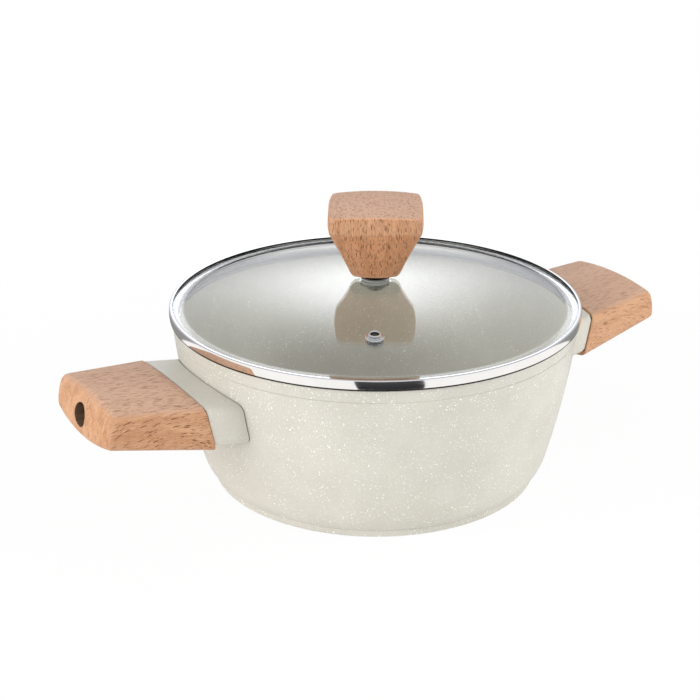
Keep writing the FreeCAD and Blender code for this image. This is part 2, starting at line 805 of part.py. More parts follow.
def make_lid_rim(doc, s):
    """Rolled steel band round the glass: top lip, upright face, rest and skirt inside the pot."""
    level = lid_levels(s)
    body = new_body(doc, "lid_rim")
    skirt = s.rim_radius - s.rim_wall - s.skirt_gap
    skirt_bottom = s.rim_height - s.skirt_drop
    lip = s.band_radius - s.band_lip
    inside = s.band_radius - s.band_sheet
    band = turned(body, "rim_band", [
        (skirt - s.band_sheet, skirt_bottom),
        (skirt, skirt_bottom),
        (skirt, s.rim_height),
        (s.band_radius, s.rim_height),
        (s.band_radius, level.band_top),
        (lip, level.band_top),
        (lip, level.glass_top),
        (inside, level.glass_top),
        (inside, level.glass_bottom),
        (skirt - s.band_sheet, level.glass_bottom),
    ])
    doc.recompute()
    corners = ring_edges(band, s.band_radius, s.rim_height) + ring_edges(band, s.band_radius, level.band_top)
    outer = rounded(body, "band_rounding", band, corners, s.band_round)
    rounded(body, "lip_rounding", outer, ring_edges(outer, lip, level.band_top), s.band_lip_round)
    put(body, lid_placement(s))
    return body


def make_vent_eyelet(doc, s):
    """Steel eyelet through the glass, with a raised collar on top and a rolled end underneath."""
    body = new_body(doc, "vent_eyelet")
    washer_top = -(s.glass_thickness + s.vent_tube_gap)
    washer_bottom = washer_top - s.vent_washer_thickness - s.vent_gap
    roll_bottom = washer_bottom - s.vent_roll_height
    ring = turned(body, "eyelet_ring", [
        (s.vent_bore_radius, roll_bottom),
        (s.vent_roll_radius, roll_bottom),
        (s.vent_roll_radius, washer_bottom),
        (s.vent_tube_radius, washer_bottom),
        (s.vent_tube_radius, ZERO + s.vent_gap),
        (s.vent_flange_radius, ZERO + s.vent_gap),
        (s.vent_flange_radius, s.vent_flange_height),
        (s.vent_collar_radius, s.vent_flange_height),
        (s.vent_collar_radius, s.vent_collar_height),
        (s.vent_bore_radius, s.vent_collar_height),
    ])
    doc.recompute()
    tops = ring_edges(ring, s.vent_flange_radius, s.vent_flange_height)
    tops += ring_edges(ring, s.vent_collar_radius, s.vent_collar_height)
    tops += ring_edges(ring, s.vent_bore_radius, s.vent_collar_height)
    rounded(body, "eyelet_rounding", ring, tops, s.vent_flange_round)
    put(body, lid_placement(s) * vent_place(s))
    return body


def make_vent_washer(doc, s):
    """Washer under the glass that the eyelet is rolled over."""
    body = new_body(doc, "vent_washer")
    top = -(s.glass_thickness + s.vent_tube_gap)
    hole = s.vent_tube_radius + s.vent_gap
    turned(body, "vent_washer_ring", [
        (hole, top - s.vent_washer_thickness),
        (s.vent_washer_radius, top - s.vent_washer_thickness),
        (s.vent_washer_radius, top),
        (hole, top),
    ])
    put(body, lid_placement(s) * vent_place(s))
    return body


def knob_levels(s):
    """Heights of the stack that holds the knob, from the screw's head up."""
    level = lid_levels(s)
    gasket_top = level.crown + s.gasket_thickness
    under_gasket_top = level.under_crown - sag(level.under_bow, s.gasket_radius)
    under_gasket_bottom = under_gasket_top - s.gasket_thickness
    return SimpleNamespace(
        gasket_top=gasket_top,
        knob_bottom=gasket_top + s.seat_height,
        under_gasket_top=under_gasket_top,
        under_gasket_bottom=under_gasket_bottom,
        washer_bottom=under_gasket_bottom - s.lid_washer_thickness,
        crown=level.crown,
    )


def make_ring(doc, s, name, hole, outside, bottom, top):
    """A flat ring about the lid's axis between two heights."""
    body = new_body(doc, name)
    turned(body, name + "_ring", [(hole, bottom), (outside, bottom), (outside, top), (hole, top)])
    put(body, lid_placement(s))
    return body


def knob_outline(body, name, half_width, bow, corner_share, height):
    """Square outline with four bowed sides and round corners that run on smoothly from them.
    half_width is measured to the middle of a side."""
    flat = half_width - bow
    reach = flat - corner_share * half_width
    side = arc_radius(reach, bow)
    lean = reach / side
    corner = (flat - reach) / (root(as_size(1.0) - lean * lean) - lean)
    sketch = new_sketch(body, name, "XY_Plane", height)
    add_outline(sketch, [
        (flat, -reach, side, 1),
        (flat, reach, corner, 1),
        (reach, flat, side, 1),
        (-reach, flat, corner, 1),
        (-flat, reach, side, 1),
        (-flat, -reach, corner, 1),
        (-reach, -flat, side, 1),
        (reach, -flat, corner, 1),
    ])
    return sketch


def make_knob(doc, s):
    """Wooden knob: tapered foot, upright band and a gently crowned top, with a bore for its insert."""
    level = knob_levels(s)
    body = new_body(doc, "knob")
    waist = level.knob_bottom + s.knob_taper_height
    top = waist + s.knob_band_height
    foot = knob_outline(body, "knob_foot_outline", s.knob_foot_half_width, s.knob_foot_bow,
                        s.knob_foot_corner_share, level.knob_bottom)
    middle = knob_outline(body, "knob_waist_outline", s.knob_half_width, s.knob_side_bow,
                          s.knob_corner_share, waist)
    taper = body.newObject("PartDesign::AdditiveLoft", "knob_taper")
    taper.Profile = foot
    taper.Sections = [middle]
    taper.Ruled = True
    upright = knob_outline(body, "knob_band_outline", s.knob_half_width, s.knob_side_bow,
                           s.knob_corner_share, waist)
    brim = knob_outline(body, "knob_brim_outline", s.knob_half_width - s.knob_brim_inset,
                        s.knob_side_bow, s.knob_corner_share, top)
    band = body.newObject("PartDesign::AdditiveLoft", "knob_band")
    band.Profile = upright
    band.Sections = [brim]
    band.Ruled = True
    doc.recompute()

    def is_waist(edge):
        box = edge.BoundBox
        return abs(box.ZMin - waist.value) < TOUCH and abs(box.ZMax - waist.value) < TOUCH
    rounded(body, "knob_waist_rounding", band, edges_where(band, is_waist), s.knob_waist_round)
    crown_bow = arc_radius(s.knob_half_width, s.knob_crown)
    reach = s.knob_half_width * SPREAD
    turned(body, "knob_crown", [
        (ZERO, top, crown_bow, -1),
        (reach, top - sag(crown_bow, reach)),
        (reach, top + s.knob_band_height),
        (ZERO, top + s.knob_band_height),
    ], kind="Groove")
    doc.recompute()
    crowned = body.Tip

    def is_brim(edge):
        return edge.BoundBox.ZMin > top.value - s.knob_band_height.value / 3 \
            and math.hypot(*edge.CenterOfMass[:2]) > s.knob_half_width.value * 0.8
    rounded(body, "knob_brim_rounding", crowned, edges_where(crowned, is_brim), s.knob_edge_round)
    drilled(body, "knob_bore", "XY_Plane", (ZERO, ZERO), s.insert_radius,
            level.knob_bottom + s.insert_length, s.insert_length * 2)
    put(body, lid_placement(s))
    return body


def make_knob_insert(doc, s):
    """Threaded brass insert in the knob."""
    level = knob_levels(s)
    return make_ring(doc, s, "knob_insert", s.lid_screw_radius + s.thread_gap, s.insert_radius,
                     level.knob_bottom, level.knob_bottom + s.insert_length)


def make_knob_seat(doc, s):
    """Steel collar with a flange between the glass and the knob."""
    level = knob_levels(s)
    body = new_body(doc, "knob_seat")
    flange_top = level.gasket_top + s.seat_flange_height
    ring = turned(body, "seat_ring", [
        (s.lid_screw_hole_radius, level.gasket_top),
        (s.seat_radius, level.gasket_top),
        (s.seat_radius, flange_top),
        (s.seat_neck_radius, flange_top),
        (s.seat_neck_radius, level.knob_bottom),
        (s.lid_screw_hole_radius, level.knob_bottom),
    ])
    doc.recompute()
    rounded(body, "seat_rounding", ring, ring_edges(ring, s.seat_radius, flange_top), s.seat_round)
    put(body, lid_placement(s))
    return body


def make_knob_gaskets(doc, s):
    """Silicone gaskets on both sides of the glass."""
    level = knob_levels(s)
    make_ring(doc, s, "knob_gasket_upper", s.lid_screw_hole_radius, s.gasket_radius, level.crown,
              level.gasket_top)
    make_ring(doc, s, "knob_gasket_lower", s.lid_screw_hole_radius, s.gasket_radius,
              level.under_gasket_bottom, level.under_gasket_top)


def make_knob_washer(doc, s):
    """Steel washer that spreads the screw's load under the glass."""
    level = knob_levels(s)
    return make_ring(doc, s, "knob_washer", s.lid_screw_hole_radius, s.lid_washer_radius,
                     level.washer_bottom, level.under_gasket_bottom)


def make_knob_screw(doc, s):
    """Screw from under the lid into the knob's insert."""
    level = knob_levels(s)
    body = new_body(doc, "knob_screw")
    turned(body, "knob_screw_bar", screw_outline(s.lid_screw_radius, s.lid_screw_length,
                                                 s.lid_screw_head_radius, s.lid_screw_head_height))
    hex_pocket(body, "knob_screw_socket", s.hex_key_radius, s.lid_screw_head_height, s.hex_key_depth)
    upside_down = Placement(Vector(0, 0, level.washer_bottom.value), Rotation(Vector(1, 0, 0), 180.0))
    put(body, upside_down)
    return body


# ---------------------------------------------------------------- checks and export

def check_cuts(doc):
    """Every cutting feature has to take something away."""
    for feature in doc.Objects:
        cuts = ("PartDesign::Pocket", "PartDesign::Groove", "PartDesign::SubtractiveLoft")
        if feature.TypeId in cuts:
            before = feature.BaseFeature.Shape.Volume
            after = feature.Shape.Volume
            if not after < before - TOUCH:
                raise RuntimeError(f"{feature.Name} in {feature.getParent().Label} cuts nothing")


def check_objects(doc):
    """No object may have failed, and every body has to be one valid solid."""
    for item in doc.Objects:
        if "Invalid" in item.State or "Error" in item.State:
            raise RuntimeError(f"{item.Label} failed: {item.State}")
    for body in doc.findObjects("PartDesign::Body"):
        if body.Shape.isNull() or not body.Shape.isValid() or len(body.Shape.Solids) != 1:
            raise RuntimeError(f"{body.Label} is not one valid solid")


def export(doc):
    """Write one STEP file per body."""
    os.makedirs("parts", exist_ok=True)
    for body in doc.findObjects("PartDesign::Body"):
        body.Shape.exportStep(f"parts/{body.Label}.step")


def main():
    """Build the whole pan, check it and write its pieces."""
    doc = FreeCAD.newDocument("pan")
    s = make_sheet(doc)
    make_pot_body(doc, s)
    make_induction_plate(doc, s)
    for side in (-1, 1):
        make_stud(doc, s, side)
        make_bracket(doc, s, side)
        make_pad(doc, s, side)
        make_grip(doc, s, side)
        make_flat_washer(doc, s, side)
        make_spring_washer(doc, s, side)
        make_screw(doc, s, side)
    make_lid_glass(doc, s)
    make_lid_rim(doc, s)
    make_vent_eyelet(doc, s)
    make_vent_washer(doc, s)
    make_knob(doc, s)
    make_knob_insert(doc, s)
    make_knob_seat(doc, s)
    make_knob_gaskets(doc, s)
    make_knob_washer(doc, s)
    make_knob_screw(doc, s)
    doc.recompute()
    check_objects(doc)
    check_cuts(doc)
    export(doc)
    return doc


main()
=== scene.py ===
import logging
import math
from dataclasses import dataclass, replace
from enum import Enum
from typing import Callable, Optional, Sequence

import bpy
import numpy as np
from mathutils import Matrix, Vector


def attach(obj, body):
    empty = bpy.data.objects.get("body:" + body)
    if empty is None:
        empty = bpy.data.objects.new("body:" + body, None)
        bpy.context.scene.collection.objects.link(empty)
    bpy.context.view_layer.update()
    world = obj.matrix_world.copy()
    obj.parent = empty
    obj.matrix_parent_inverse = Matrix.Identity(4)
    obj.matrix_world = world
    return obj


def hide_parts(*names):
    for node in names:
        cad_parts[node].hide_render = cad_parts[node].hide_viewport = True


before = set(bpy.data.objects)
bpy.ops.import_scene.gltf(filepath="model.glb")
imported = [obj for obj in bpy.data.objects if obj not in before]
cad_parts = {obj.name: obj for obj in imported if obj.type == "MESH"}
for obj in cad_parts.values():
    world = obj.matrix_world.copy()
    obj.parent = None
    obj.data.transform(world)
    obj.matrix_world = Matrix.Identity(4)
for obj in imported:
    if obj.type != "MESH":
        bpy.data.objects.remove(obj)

LOG = logging.getLogger("pan")
MM = 0.001
TINY = 1e-9
LID_TURN = -32.5  # degrees that the lid stands turned on the pot
SETTLING = 6  # rounds that bring a handle's rows to rest
Array = np.ndarray
Socket = bpy.types.NodeSocket
Triple = tuple[float, float, float]
Colour = Triple
Range = tuple[float, float, float, float]  # from, to, value at from, value at to


# ------------------------------------------------------------------ surfaces

@dataclass(frozen=True)
class Corner:
    """A corner of a profile, in millimetres.

    Attributes:
        across: Place along the profile's first axis.
        up: Place along its second axis.
        rounding: Radius that softens the corner.
        bow: Radius of the run to the next corner, above 0 where its centre lies to the left of the
            way and below 0 to the right; 0 is a straight run.
        steps: Number of pieces in that run.
    """

    across: float
    up: float
    rounding: float = 0.0
    bow: float = 0.0
    steps: int = 1


class Side(Enum):
    """The two sides of the pot that carry a handle: the sign of X there."""

    LEFT = -1
    RIGHT = 1

    @property
    def label(self) -> str:
        """The word that the side's nodes start with."""
        return self.name.lower()


def arc_radius(half_chord: Array, rise: Array) -> Array:
    """Radius of the arc that rises by rise over a chord of twice half_chord."""
    return (half_chord**2 + rise**2) / (2 * rise)


def sag(radius: Array, across: Array) -> Array:
    """How far a circle has dropped at a distance across from its top: R - sqrt(R^2 - a^2)."""
    return radius - np.sqrt(radius**2 - across**2)


def arc_centre(start: Array, end: Array, bow: float) -> Array:
    """Centre of an arc: on the chord's middle normal, |bow| from both ends.

    Args:
        start: Start of the arc.
        end: End of the arc.
        bow: Radius, above 0 where the centre lies to the left of the way, below 0 to the right.

    Returns:
        The centre.
    """
    way = end - start
    half = np.hypot(*way) / 2
    left = np.array([-way[1], way[0]]) / (2 * half)
    return (start + end) / 2 + left * math.copysign(math.sqrt(max(bow**2 - half**2, 0.0)), bow)


def bowed_run(start: Array, end: Array, bow: float, steps: int) -> Array:
    """Points of a run between two corners, spaced evenly by angle about its centre.

    Args:
        start: First corner.
        end: Last corner.
        bow: Signed radius, or 0 for a straight run.
        steps: Number of pieces.

    Returns:
        An array of steps + 1 points.
    """
    share = np.linspace(0.0, 1.0, steps + 1)[:, None]
    if bow == 0.0:
        return start + (end - start) * share
    centre = arc_centre(start, end, bow)
    first = math.atan2(*(start - centre)[::-1])
    last = math.atan2(*(end - centre)[::-1])
    last += 2 * math.pi * ((bow > 0 and last < first) - (bow < 0 and last > first))
    angle = first + (last - first) * share[:, 0]
    return centre + abs(bow) * np.stack([np.cos(angle), np.sin(angle)], 1)


def shortened(run: Array, from_start: float, from_end: float) -> Array:
    """The run with a length cut off each end, measured along it.

    Args:
        run: Points of the run.
        from_start: Length cut off its start.
        from_end: Length cut off its end.

    Returns:
        Points of what is left.
    """
    length = np.r_[0.0, np.cumsum(np.hypot(*np.diff(run, axis=0).T))]
    kept = (length > from_start + TINY) & (length < length[-1] - from_end - TINY)
    at = np.r_[from_start, length[kept], length[-1] - from_end]
    return np.stack([np.interp(at, length, run[:, k]) for k in (0, 1)], 1)


def profile(corners: Sequence[Corner], closed: bool, arc_steps: int = 6) -> Array:
    """Points of a profile with its corners rounded.

    Each rounded corner takes r * tan(turn / 2) off the runs that meet there and joins what is left
    by a cubic curve with handles of 4/3 * tan(turn / 4) * r, which is close to a circle's arc.

    Args:
        corners: The corners in order.
        closed: Whether the last corner runs on to the first.
        arc_steps: Pieces in each rounding.

    Returns:
        An array of points, two columns wide.
    """
    places = np.array([(c.across, c.up) for c in corners], float)
    size = len(corners)
    count = size if closed else size - 1
    runs = [bowed_run(places[i], places[(i + 1) % size], corners[i].bow, corners[i].steps)
            for i in range(count)]
    cuts = np.zeros(size)
    turns = {}
    for i, corner in enumerate(corners):
        if corner.rounding <= 0 or (not closed and i in (0, size - 1)):
            continue
        into = runs[i - 1][-1] - runs[i - 1][-2]
        out = runs[i][1] - runs[i][0]
        into, out = into / np.hypot(*into), out / np.hypot(*out)
        turn = math.acos(float(np.clip(into @ out, -1.0, 1.0)))
        cuts[i] = corner.rounding * math.tan(turn / 2)
        turns[i] = (into, out, 4 / 3 * math.tan(turn / 4) * corner.rounding)
    trimmed = [shortened(run, cuts[i], cuts[(i + 1) % size]) for i, run in enumerate(runs)]
    path = []
    t = np.linspace(0.0, 1.0, arc_steps + 1)[1:-1, None]
    for i, run in enumerate(trimmed):
        if i in turns:
            into, out, handle = turns[i]
            a, d = trimmed[i - 1][-1], run[0]
            b, c = a + into * handle, d - out * handle
            path.append((1 - t) ** 3 * a + 3 * (1 - t) ** 2 * t * b
                        + 3 * (1 - t) * t**2 * c + t**3 * d)
        rounded_next = i + 1 in turns or (closed and i == count - 1 and 0 in turns)
        path.append(run if rounded_next else run[:-1])
    if not closed:
        path.append(runs[-1][-1:])
    return np.concatenate(path)


def quarter_turn(steps: int) -> Array:
    """Angles of a rounded edge, from one step after 0 to a right angle."""
    return np.linspace(0.0, math.pi / 2, steps + 1)[1:]


def lathe(path: Array, steps: int) -> Array:
    """Turns a profile about Z.

    A point (r, z) of the profile becomes (r cos a, r sin a, z) for every angle a round the circle.

    Args:
        path: Profile points as distance from the axis and height, in millimetres.
        steps: Columns round the circle.

    Returns:
        A grid of points, rows along the profile and columns round the axis.
    """
    angle = np.linspace(0.0, 2 * math.pi, steps, endpoint=False)
    across, up = path[:, :1], path[:, 1:]
    return np.stack([across * np.cos(angle), across * np.sin(angle), up + 0 * angle], -1)


def placed(points: Array, matrix: Matrix) -> Array:
    """The points moved by a matrix: M p + o for every point p."""
    m = np.array(matrix)
    return points @ m[:3, :3].T + m[:3, 3]


def new_object(name: str, data: bpy.types.ID) -> bpy.types.Object:
    """Puts a new object in the scene.

    Args:
        name: Its name.
        data: Its mesh, lamp or camera.

    Returns:
        The object.
    """
    thing = bpy.data.objects.new(name, data)
    bpy.context.scene.collection.objects.link(thing)
    return thing


def grid_piece(name: str, points: Array, closed_rows: bool,
               poles: tuple[bool, bool] = (False, False), sharp: float = 34.0) -> bpy.types.Object:
    """Makes a mesh object from a grid of points whose columns always close on themselves.

    Where a pole is asked for, the first or the last row of the grid lies on one point, which
    becomes a single vertex with a fan of triangles. The faces are turned outwards: if the sum of
    p0 . (p1 x p2) over the triangles, which is six times the volume, is below 0, they are flipped.

    Args:
        name: Name of the piece.
        points: Grid of points in millimetres, rows by columns by 3.
        closed_rows: Whether the last row joins the first.
        poles: Whether the first and the last row are poles.
        sharp: Angle in degrees above which an edge is shaded as a crease.

    Returns:
        The new object, with its place in its mesh.
    """
    rows, columns = points.shape[:2]
    index = np.arange(rows * columns).reshape(rows, columns)
    body = index[int(poles[0]): rows - int(poles[1])]
    if closed_rows:
        body = np.vstack([body, body[:1]])
    body = np.hstack([body, body[:, :1]])
    quads = np.stack([body[:-1, :-1], body[:-1, 1:], body[1:, 1:], body[1:, :-1]], -1)
    quads = quads.reshape(-1, 4)
    fans = []
    if poles[0]:
        fans.append(np.stack([np.full(columns, index[0, 0]), body[0, 1:], body[0, :-1]], -1))
    if poles[1]:
        fans.append(np.stack([np.full(columns, index[-1, 0]), body[-1, :-1], body[-1, 1:]], -1))
    used = np.unique(np.concatenate([quads.ravel()] + [fan.ravel() for fan in fans]))
    renumber = np.zeros(rows * columns, int)
    renumber[used] = np.arange(len(used))
    vertices = points.reshape(-1, 3)[used] * MM
    quads = renumber[quads]
    fans = [renumber[fan] for fan in fans]
    triangles = np.concatenate([quads[:, [0, 1, 2]], quads[:, [0, 2, 3]]] + fans)
    a, b, c = (vertices[triangles[:, k]] for k in range(3))
    if np.einsum("ij,ij->i", a, np.cross(b, c)).sum() < 0:
        quads = quads[:, ::-1]
        fans = [fan[:, ::-1] for fan in fans]
    mesh = bpy.data.meshes.new(name)
    faces = quads.tolist() + [face for fan in fans for face in fan.tolist()]
    mesh.from_pydata(vertices.tolist(), [], faces)
    mesh.polygons.foreach_set("use_smooth", np.ones(len(faces), bool))
    mesh.set_sharp_from_angle(angle=math.radians(sharp))
    mesh.update()
    return new_object(name, mesh)


def turned_piece(name: str, corners: Sequence[Corner], steps: int, matrix: Optional[Matrix] = None,
                 arc_steps: int = 6) -> bpy.types.Object:
    """A piece turned about an axis; a profile that starts or ends on the axis closes at a pole.

    Args:
        name: Name of the piece.
        corners: Corners of the profile, closed unless it starts and ends on the axis.
        steps: Columns round the axis.
        matrix: Place of the piece, in millimetres.
        arc_steps: Pieces in each rounding.

    Returns:
        The new object.
    """
    open_path = corners[0].across == 0.0 and corners[-1].across == 0.0
    points = lathe(profile(corners, not open_path, arc_steps), steps)
    if matrix is not None:
        points = placed(points, matrix)
    return grid_piece(name, points, not open_path, (open_path, open_path))


def ring_corners(inner: float, outer: float, low: float, high: float, inner_soft: float = 0.0,
                 outer_soft: float = 0.0) -> list[Corner]:
    """Profile of a plain ring, or of a plain disc where inner is 0.

    Args:
        inner: Inner radius.
        outer: Outer radius.
        low: Height of the underside.
        high: Height of the top.
        inner_soft: Rounding of the inner edges.
        outer_soft: Rounding of the outer edges.

    Returns:
        The four corners.
    """
    return [Corner(inner, low, inner_soft), Corner(outer, low, outer_soft),
            Corner(outer, high, outer_soft), Corner(inner, high, inner_soft)]


def note_facing(piece: bpy.types.Object, turn: float = 0.0) -> None:
    """Stores how far each vertex faces along the piece's own axes, as attributes for its finish.

    The attributes facing_x, facing_y and facing_z are |n . axis| for the vertex normal n.

    Args:
        piece: The piece.
        turn: Turn of the piece's own axes about Z, in degrees.
    """
    mesh = piece.data
    normals = np.empty(len(mesh.vertices) * 3, np.float32)
    mesh.vertices.foreach_get("normal", normals)
    spin = np.array(Matrix.Rotation(math.radians(turn), 3, "Z"))
    facing = np.abs(normals.reshape(-1, 3) @ spin)
    for axis, letter in enumerate("xyz"):
        attribute = mesh.attributes.new(f"facing_{letter}", "FLOAT", "POINT")
        attribute.data.foreach_set("value", np.ascontiguousarray(facing[:, axis]))


def note_joint_shade(piece: bpy.types.Object, count: int) -> None:
    """Stores the attribute joint, 1 at the first count vertices and 0 elsewhere, for painted shade.
    """
    marks = (np.arange(len(piece.data.vertices)) < count).astype(np.float32)
    piece.data.attributes.new("joint", "FLOAT", "POINT").data.foreach_set("value", marks)


# ------------------------------------------------------------------ finishes

@dataclass(frozen=True)
class Scatter:
    """Dots scattered one to a cell, each with its own size.

    Attributes:
        scale: Cells per unit of length.
        smallest: Radius of the smallest dot, as a share of a cell.
        largest: Radius of the largest dot.
        share: Share of the cells that hold a dot.
        soft: Softness of a dot's rim, as a share of its radius.
        weight: How strongly the dots show.
    """

    scale: float
    smallest: float
    largest: float
    share: float
    soft: float
    weight: float = 1.0


class Graph:
    """Shorthand for building the nodes of a material or of the world."""

    def __init__(self, owner: bpy.types.ID, place: str = "Object") -> None:
        """Starts an empty node tree.

        Args:
            owner: The new material or world.
            place: The coordinates that its patterns follow.
        """
        self.owner = owner
        owner.use_nodes = True
        self.tree = owner.node_tree
        self.tree.nodes.clear()
        self.place = self.node("ShaderNodeTexCoord").outputs[place]

    @classmethod
    def of_material(cls, name: str) -> "Graph":
        """The graph of a new material."""
        return cls(bpy.data.materials.new(name))

    def node(self, kind: str, *values: object, **settings: object) -> bpy.types.Node:
        """Adds a node.

        Args:
            kind: The node's type.
            *values: What its first inputs are fed with.
            **settings: Its properties.

        Returns:
            The node.
        """
        node = self.tree.nodes.new(kind)
        for key, value in settings.items():
            setattr(node, key, value)
        for socket, value in zip(node.inputs, values):
            self.feed(socket, value)
        return node

    def feed(self, socket: Socket, value: object) -> None:
        """Links a socket to another one, or sets its value.

        Args:
            socket: The input.
            value: A socket, a number, a vector or a colour.
        """
        if isinstance(value, bpy.types.NodeSocket):
            self.tree.links.new(value, socket)
        elif isinstance(value, tuple) and len(value) == 3 and socket.type == "RGBA":
            socket.default_value = (*value, 1.0)
        else:
            socket.default_value = value

    def set(self, node: bpy.types.Node, **inputs: object) -> bpy.types.Node:
        """Feeds a node's inputs by name.

        Args:
            node: The node.
            **inputs: Values by name, with _ for a space.

        Returns:
            The node.
        """
        for key, value in inputs.items():
            self.feed(node.inputs[key.replace("_", " ")], value)
        return node

    def math(self, operation: str, *values: object, clamp: bool = False) -> Socket:
        """One step of arithmetic, repeated along the row where there are over two values.

        Args:
            operation: The step.
            *values: One value or more.
            clamp: Whether the result is held between 0 and 1.

        Returns:
            The result.
        """
        if len(values) > 2:
            values = (self.math(operation, *values[:-1]), values[-1])
        return self.node("ShaderNodeMath", *values, operation=operation, use_clamp=clamp).outputs[0]

    def times(self, *values: object) -> Socket:
        """The product of the values."""
        return self.math("MULTIPLY", *values)

    def plus(self, *values: object) -> Socket:
        """The sum of the values."""
        return self.math("ADD", *values)

    def minus(self, first: object, second: object) -> Socket:
        """The difference of two values."""
        return self.math("SUBTRACT", first, second)

    def most(self, *values: object) -> Socket:
        """The largest of the values."""
        return self.math("MAXIMUM", *values)

    def vector_math(self, operation: str, *values: object, scale: float = 1.0) -> Socket:
        """One step of vector arithmetic.

        Args:
            operation: The step.
            *values: One vector or two.
            scale: Factor of the step SCALE.

        Returns:
            A vector, or a number where the step is a length or a dot product.
        """
        node = self.node("ShaderNodeVectorMath", *values, operation=operation)
        if operation == "SCALE":
            self.set(node, Scale=scale)
        return node.outputs["Value" if operation in ("LENGTH", "DOT_PRODUCT") else "Vector"]

    def split(self, vector: Socket) -> list[Socket]:
        """The three parts of a vector."""
        return list(self.node("ShaderNodeSeparateXYZ", vector).outputs)

    def reach(self) -> Socket:
        """Distance from the Z axis: the length of (x, y, 0)."""
        return self.vector_math("LENGTH", self.vector_math("MULTIPLY", self.place, (1.0, 1.0, 0.0)))

    def mix(self, share: object, first: object, second: object, blend: str = "MIX") -> Socket:
        """A blend of two colours.

        Args:
            share: Share of the second colour.
            first: First colour.
            second: Second colour.
            blend: How the second one is laid over the first.

        Returns:
            The colour.
        """
        node = self.node("ShaderNodeMix", share, data_type="RGBA", blend_type=blend)
        self.feed(node.inputs[6], first)
        self.feed(node.inputs[7], second)
        return node.outputs[2]

    def blend(self, share: Socket, first: Socket, second: Socket) -> Socket:
        """A blend of two shaders."""
        return self.node("ShaderNodeMixShader", share, first, second).outputs[0]

    def span(self, value: object, low: float, high: float, to_low: float = 0.0,
             to_high: float = 1.0, smooth: bool = True) -> Socket:
        """The value carried from one range to another and held at its ends.

        Args:
            value: The value.
            low: Start of its range.
            high: End of its range.
            to_low: What the start becomes.
            to_high: What the end becomes.
            smooth: Whether it eases in and out.

        Returns:
            The carried value.
        """
        ease = "SMOOTHSTEP" if smooth else "LINEAR"
        return self.node("ShaderNodeMapRange", value, low, high, to_low, to_high,
                         interpolation_type=ease).outputs[0]

    def mapped(self, scale: Triple, turn: Triple = (0, 0, 0), shift: Triple = (0, 0, 0),
               source: Optional[Socket] = None) -> Socket:
        """Coordinates turned, then scaled and shifted.

        Args:
            scale: Factor along each axis.
            turn: Turn about each axis, in degrees.
            shift: Shift along each axis.
            source: The coordinates, or nothing for the piece's own.

        Returns:
            The new coordinates.
        """
        spun = self.node("ShaderNodeMapping", source or self.place)
        self.set(spun, Rotation=tuple(math.radians(a) for a in turn))
        sized = self.node("ShaderNodeMapping", spun.outputs[0])
        return self.set(sized, Scale=scale, Location=shift).outputs[0]

    def noise(self, vector: Socket, scale: float = 1.0, detail: float = 2.0, rough: float = 0.5,
              warp: float = 0.0, output: str = "Fac") -> Socket:
        """A noise texture.

        Args:
            vector: Coordinates.
            scale: Cells per unit.
            detail: Number of finer layers.
            rough: Weight of the finer layers.
            warp: Distortion.
            output: Fac for a number, Color for a vector.

        Returns:
            The noise.
        """
        node = self.node("ShaderNodeTexNoise")
        return self.set(node, Vector=vector, Scale=scale, Detail=detail, Roughness=rough,
                        Distortion=warp).outputs[output]

    def attribute(self, name: str) -> Socket:
        """A number stored on the mesh."""
        return self.node("ShaderNodeAttribute", attribute_name=name).outputs["Fac"]

    def dots(self, vector: Socket, scatter: Scatter, flat: bool = False) -> Socket:
        """Scattered dots: each cell holds a dot with its own size, or none.

        Args:
            vector: Coordinates.
            scatter: Sizes and number of the dots.
            flat: Whether the cells lie in a plane and read only the first two coordinates.

        Returns:
            A mask, as strong as the scatter's weight in the dots.
        """
        cell = self.node("ShaderNodeTexVoronoi", voronoi_dimensions="2D" if flat else "3D")
        self.set(cell, Vector=vector, Scale=scatter.scale)
        chance = self.node("ShaderNodeSeparateColor", cell.outputs["Color"]).outputs
        radius = self.span(chance[0], 0.0, 1.0, scatter.smallest, scatter.largest, smooth=False)
        depth = self.math("DIVIDE", cell.outputs["Distance"], radius)
        dot = self.span(depth, 1.0 - scatter.soft, 1.0 + scatter.soft, 1.0, 0.0)
        return self.times(dot, self.math("LESS_THAN", chance[1], scatter.share), scatter.weight)

    def bump(self, height: Socket, strength: float, distance: float) -> Socket:
        """A bumped normal.

        Args:
            height: Height of the bumps.
            strength: How strongly they show.
            distance: Their depth in metres.

        Returns:
            The normal.
        """
        node = self.node("ShaderNodeBump")
        return self.set(node, Strength=strength, Distance=distance, Height=height).outputs["Normal"]

    def shade(self, **inputs: object) -> Socket:
        """Adds the main shader with the inputs given by name."""
        return self.set(self.node("ShaderNodeBsdfPrincipled"), **inputs).outputs[0]

    def finish(self, shader: Socket) -> bpy.types.ID:
        """Ends the tree with a shader.

        Args:
            shader: The shader.

        Returns:
            The finished material or world.
        """
        kind = "World" if isinstance(self.owner, bpy.types.World) else "Material"
        self.feed(self.node(f"ShaderNodeOutput{kind}").inputs["Surface"], shader)
        return self.owner


@dataclass(frozen=True)
class CreaseShade:
    """Painted shade round the pot: its height, half its thickness and the radius it lies beyond."""

    height: float
    half: float
    beyond: float

    def mask(self, g: Graph, height: Socket, reach: Socket) -> Socket:
        """The line as a mask.

        Args:
            g: The material's graph.
            height: Height of a point.
            reach: Its distance from the axis.

        Returns:
            1 on the line, 0 elsewhere.
        """
        away = g.math("ABSOLUTE", g.minus(height, self.height))
        return g.times(g.span(away, self.half * 0.5, self.half, 1.0, 0.0),
                       g.math("GREATER_THAN", reach, self.beyond))


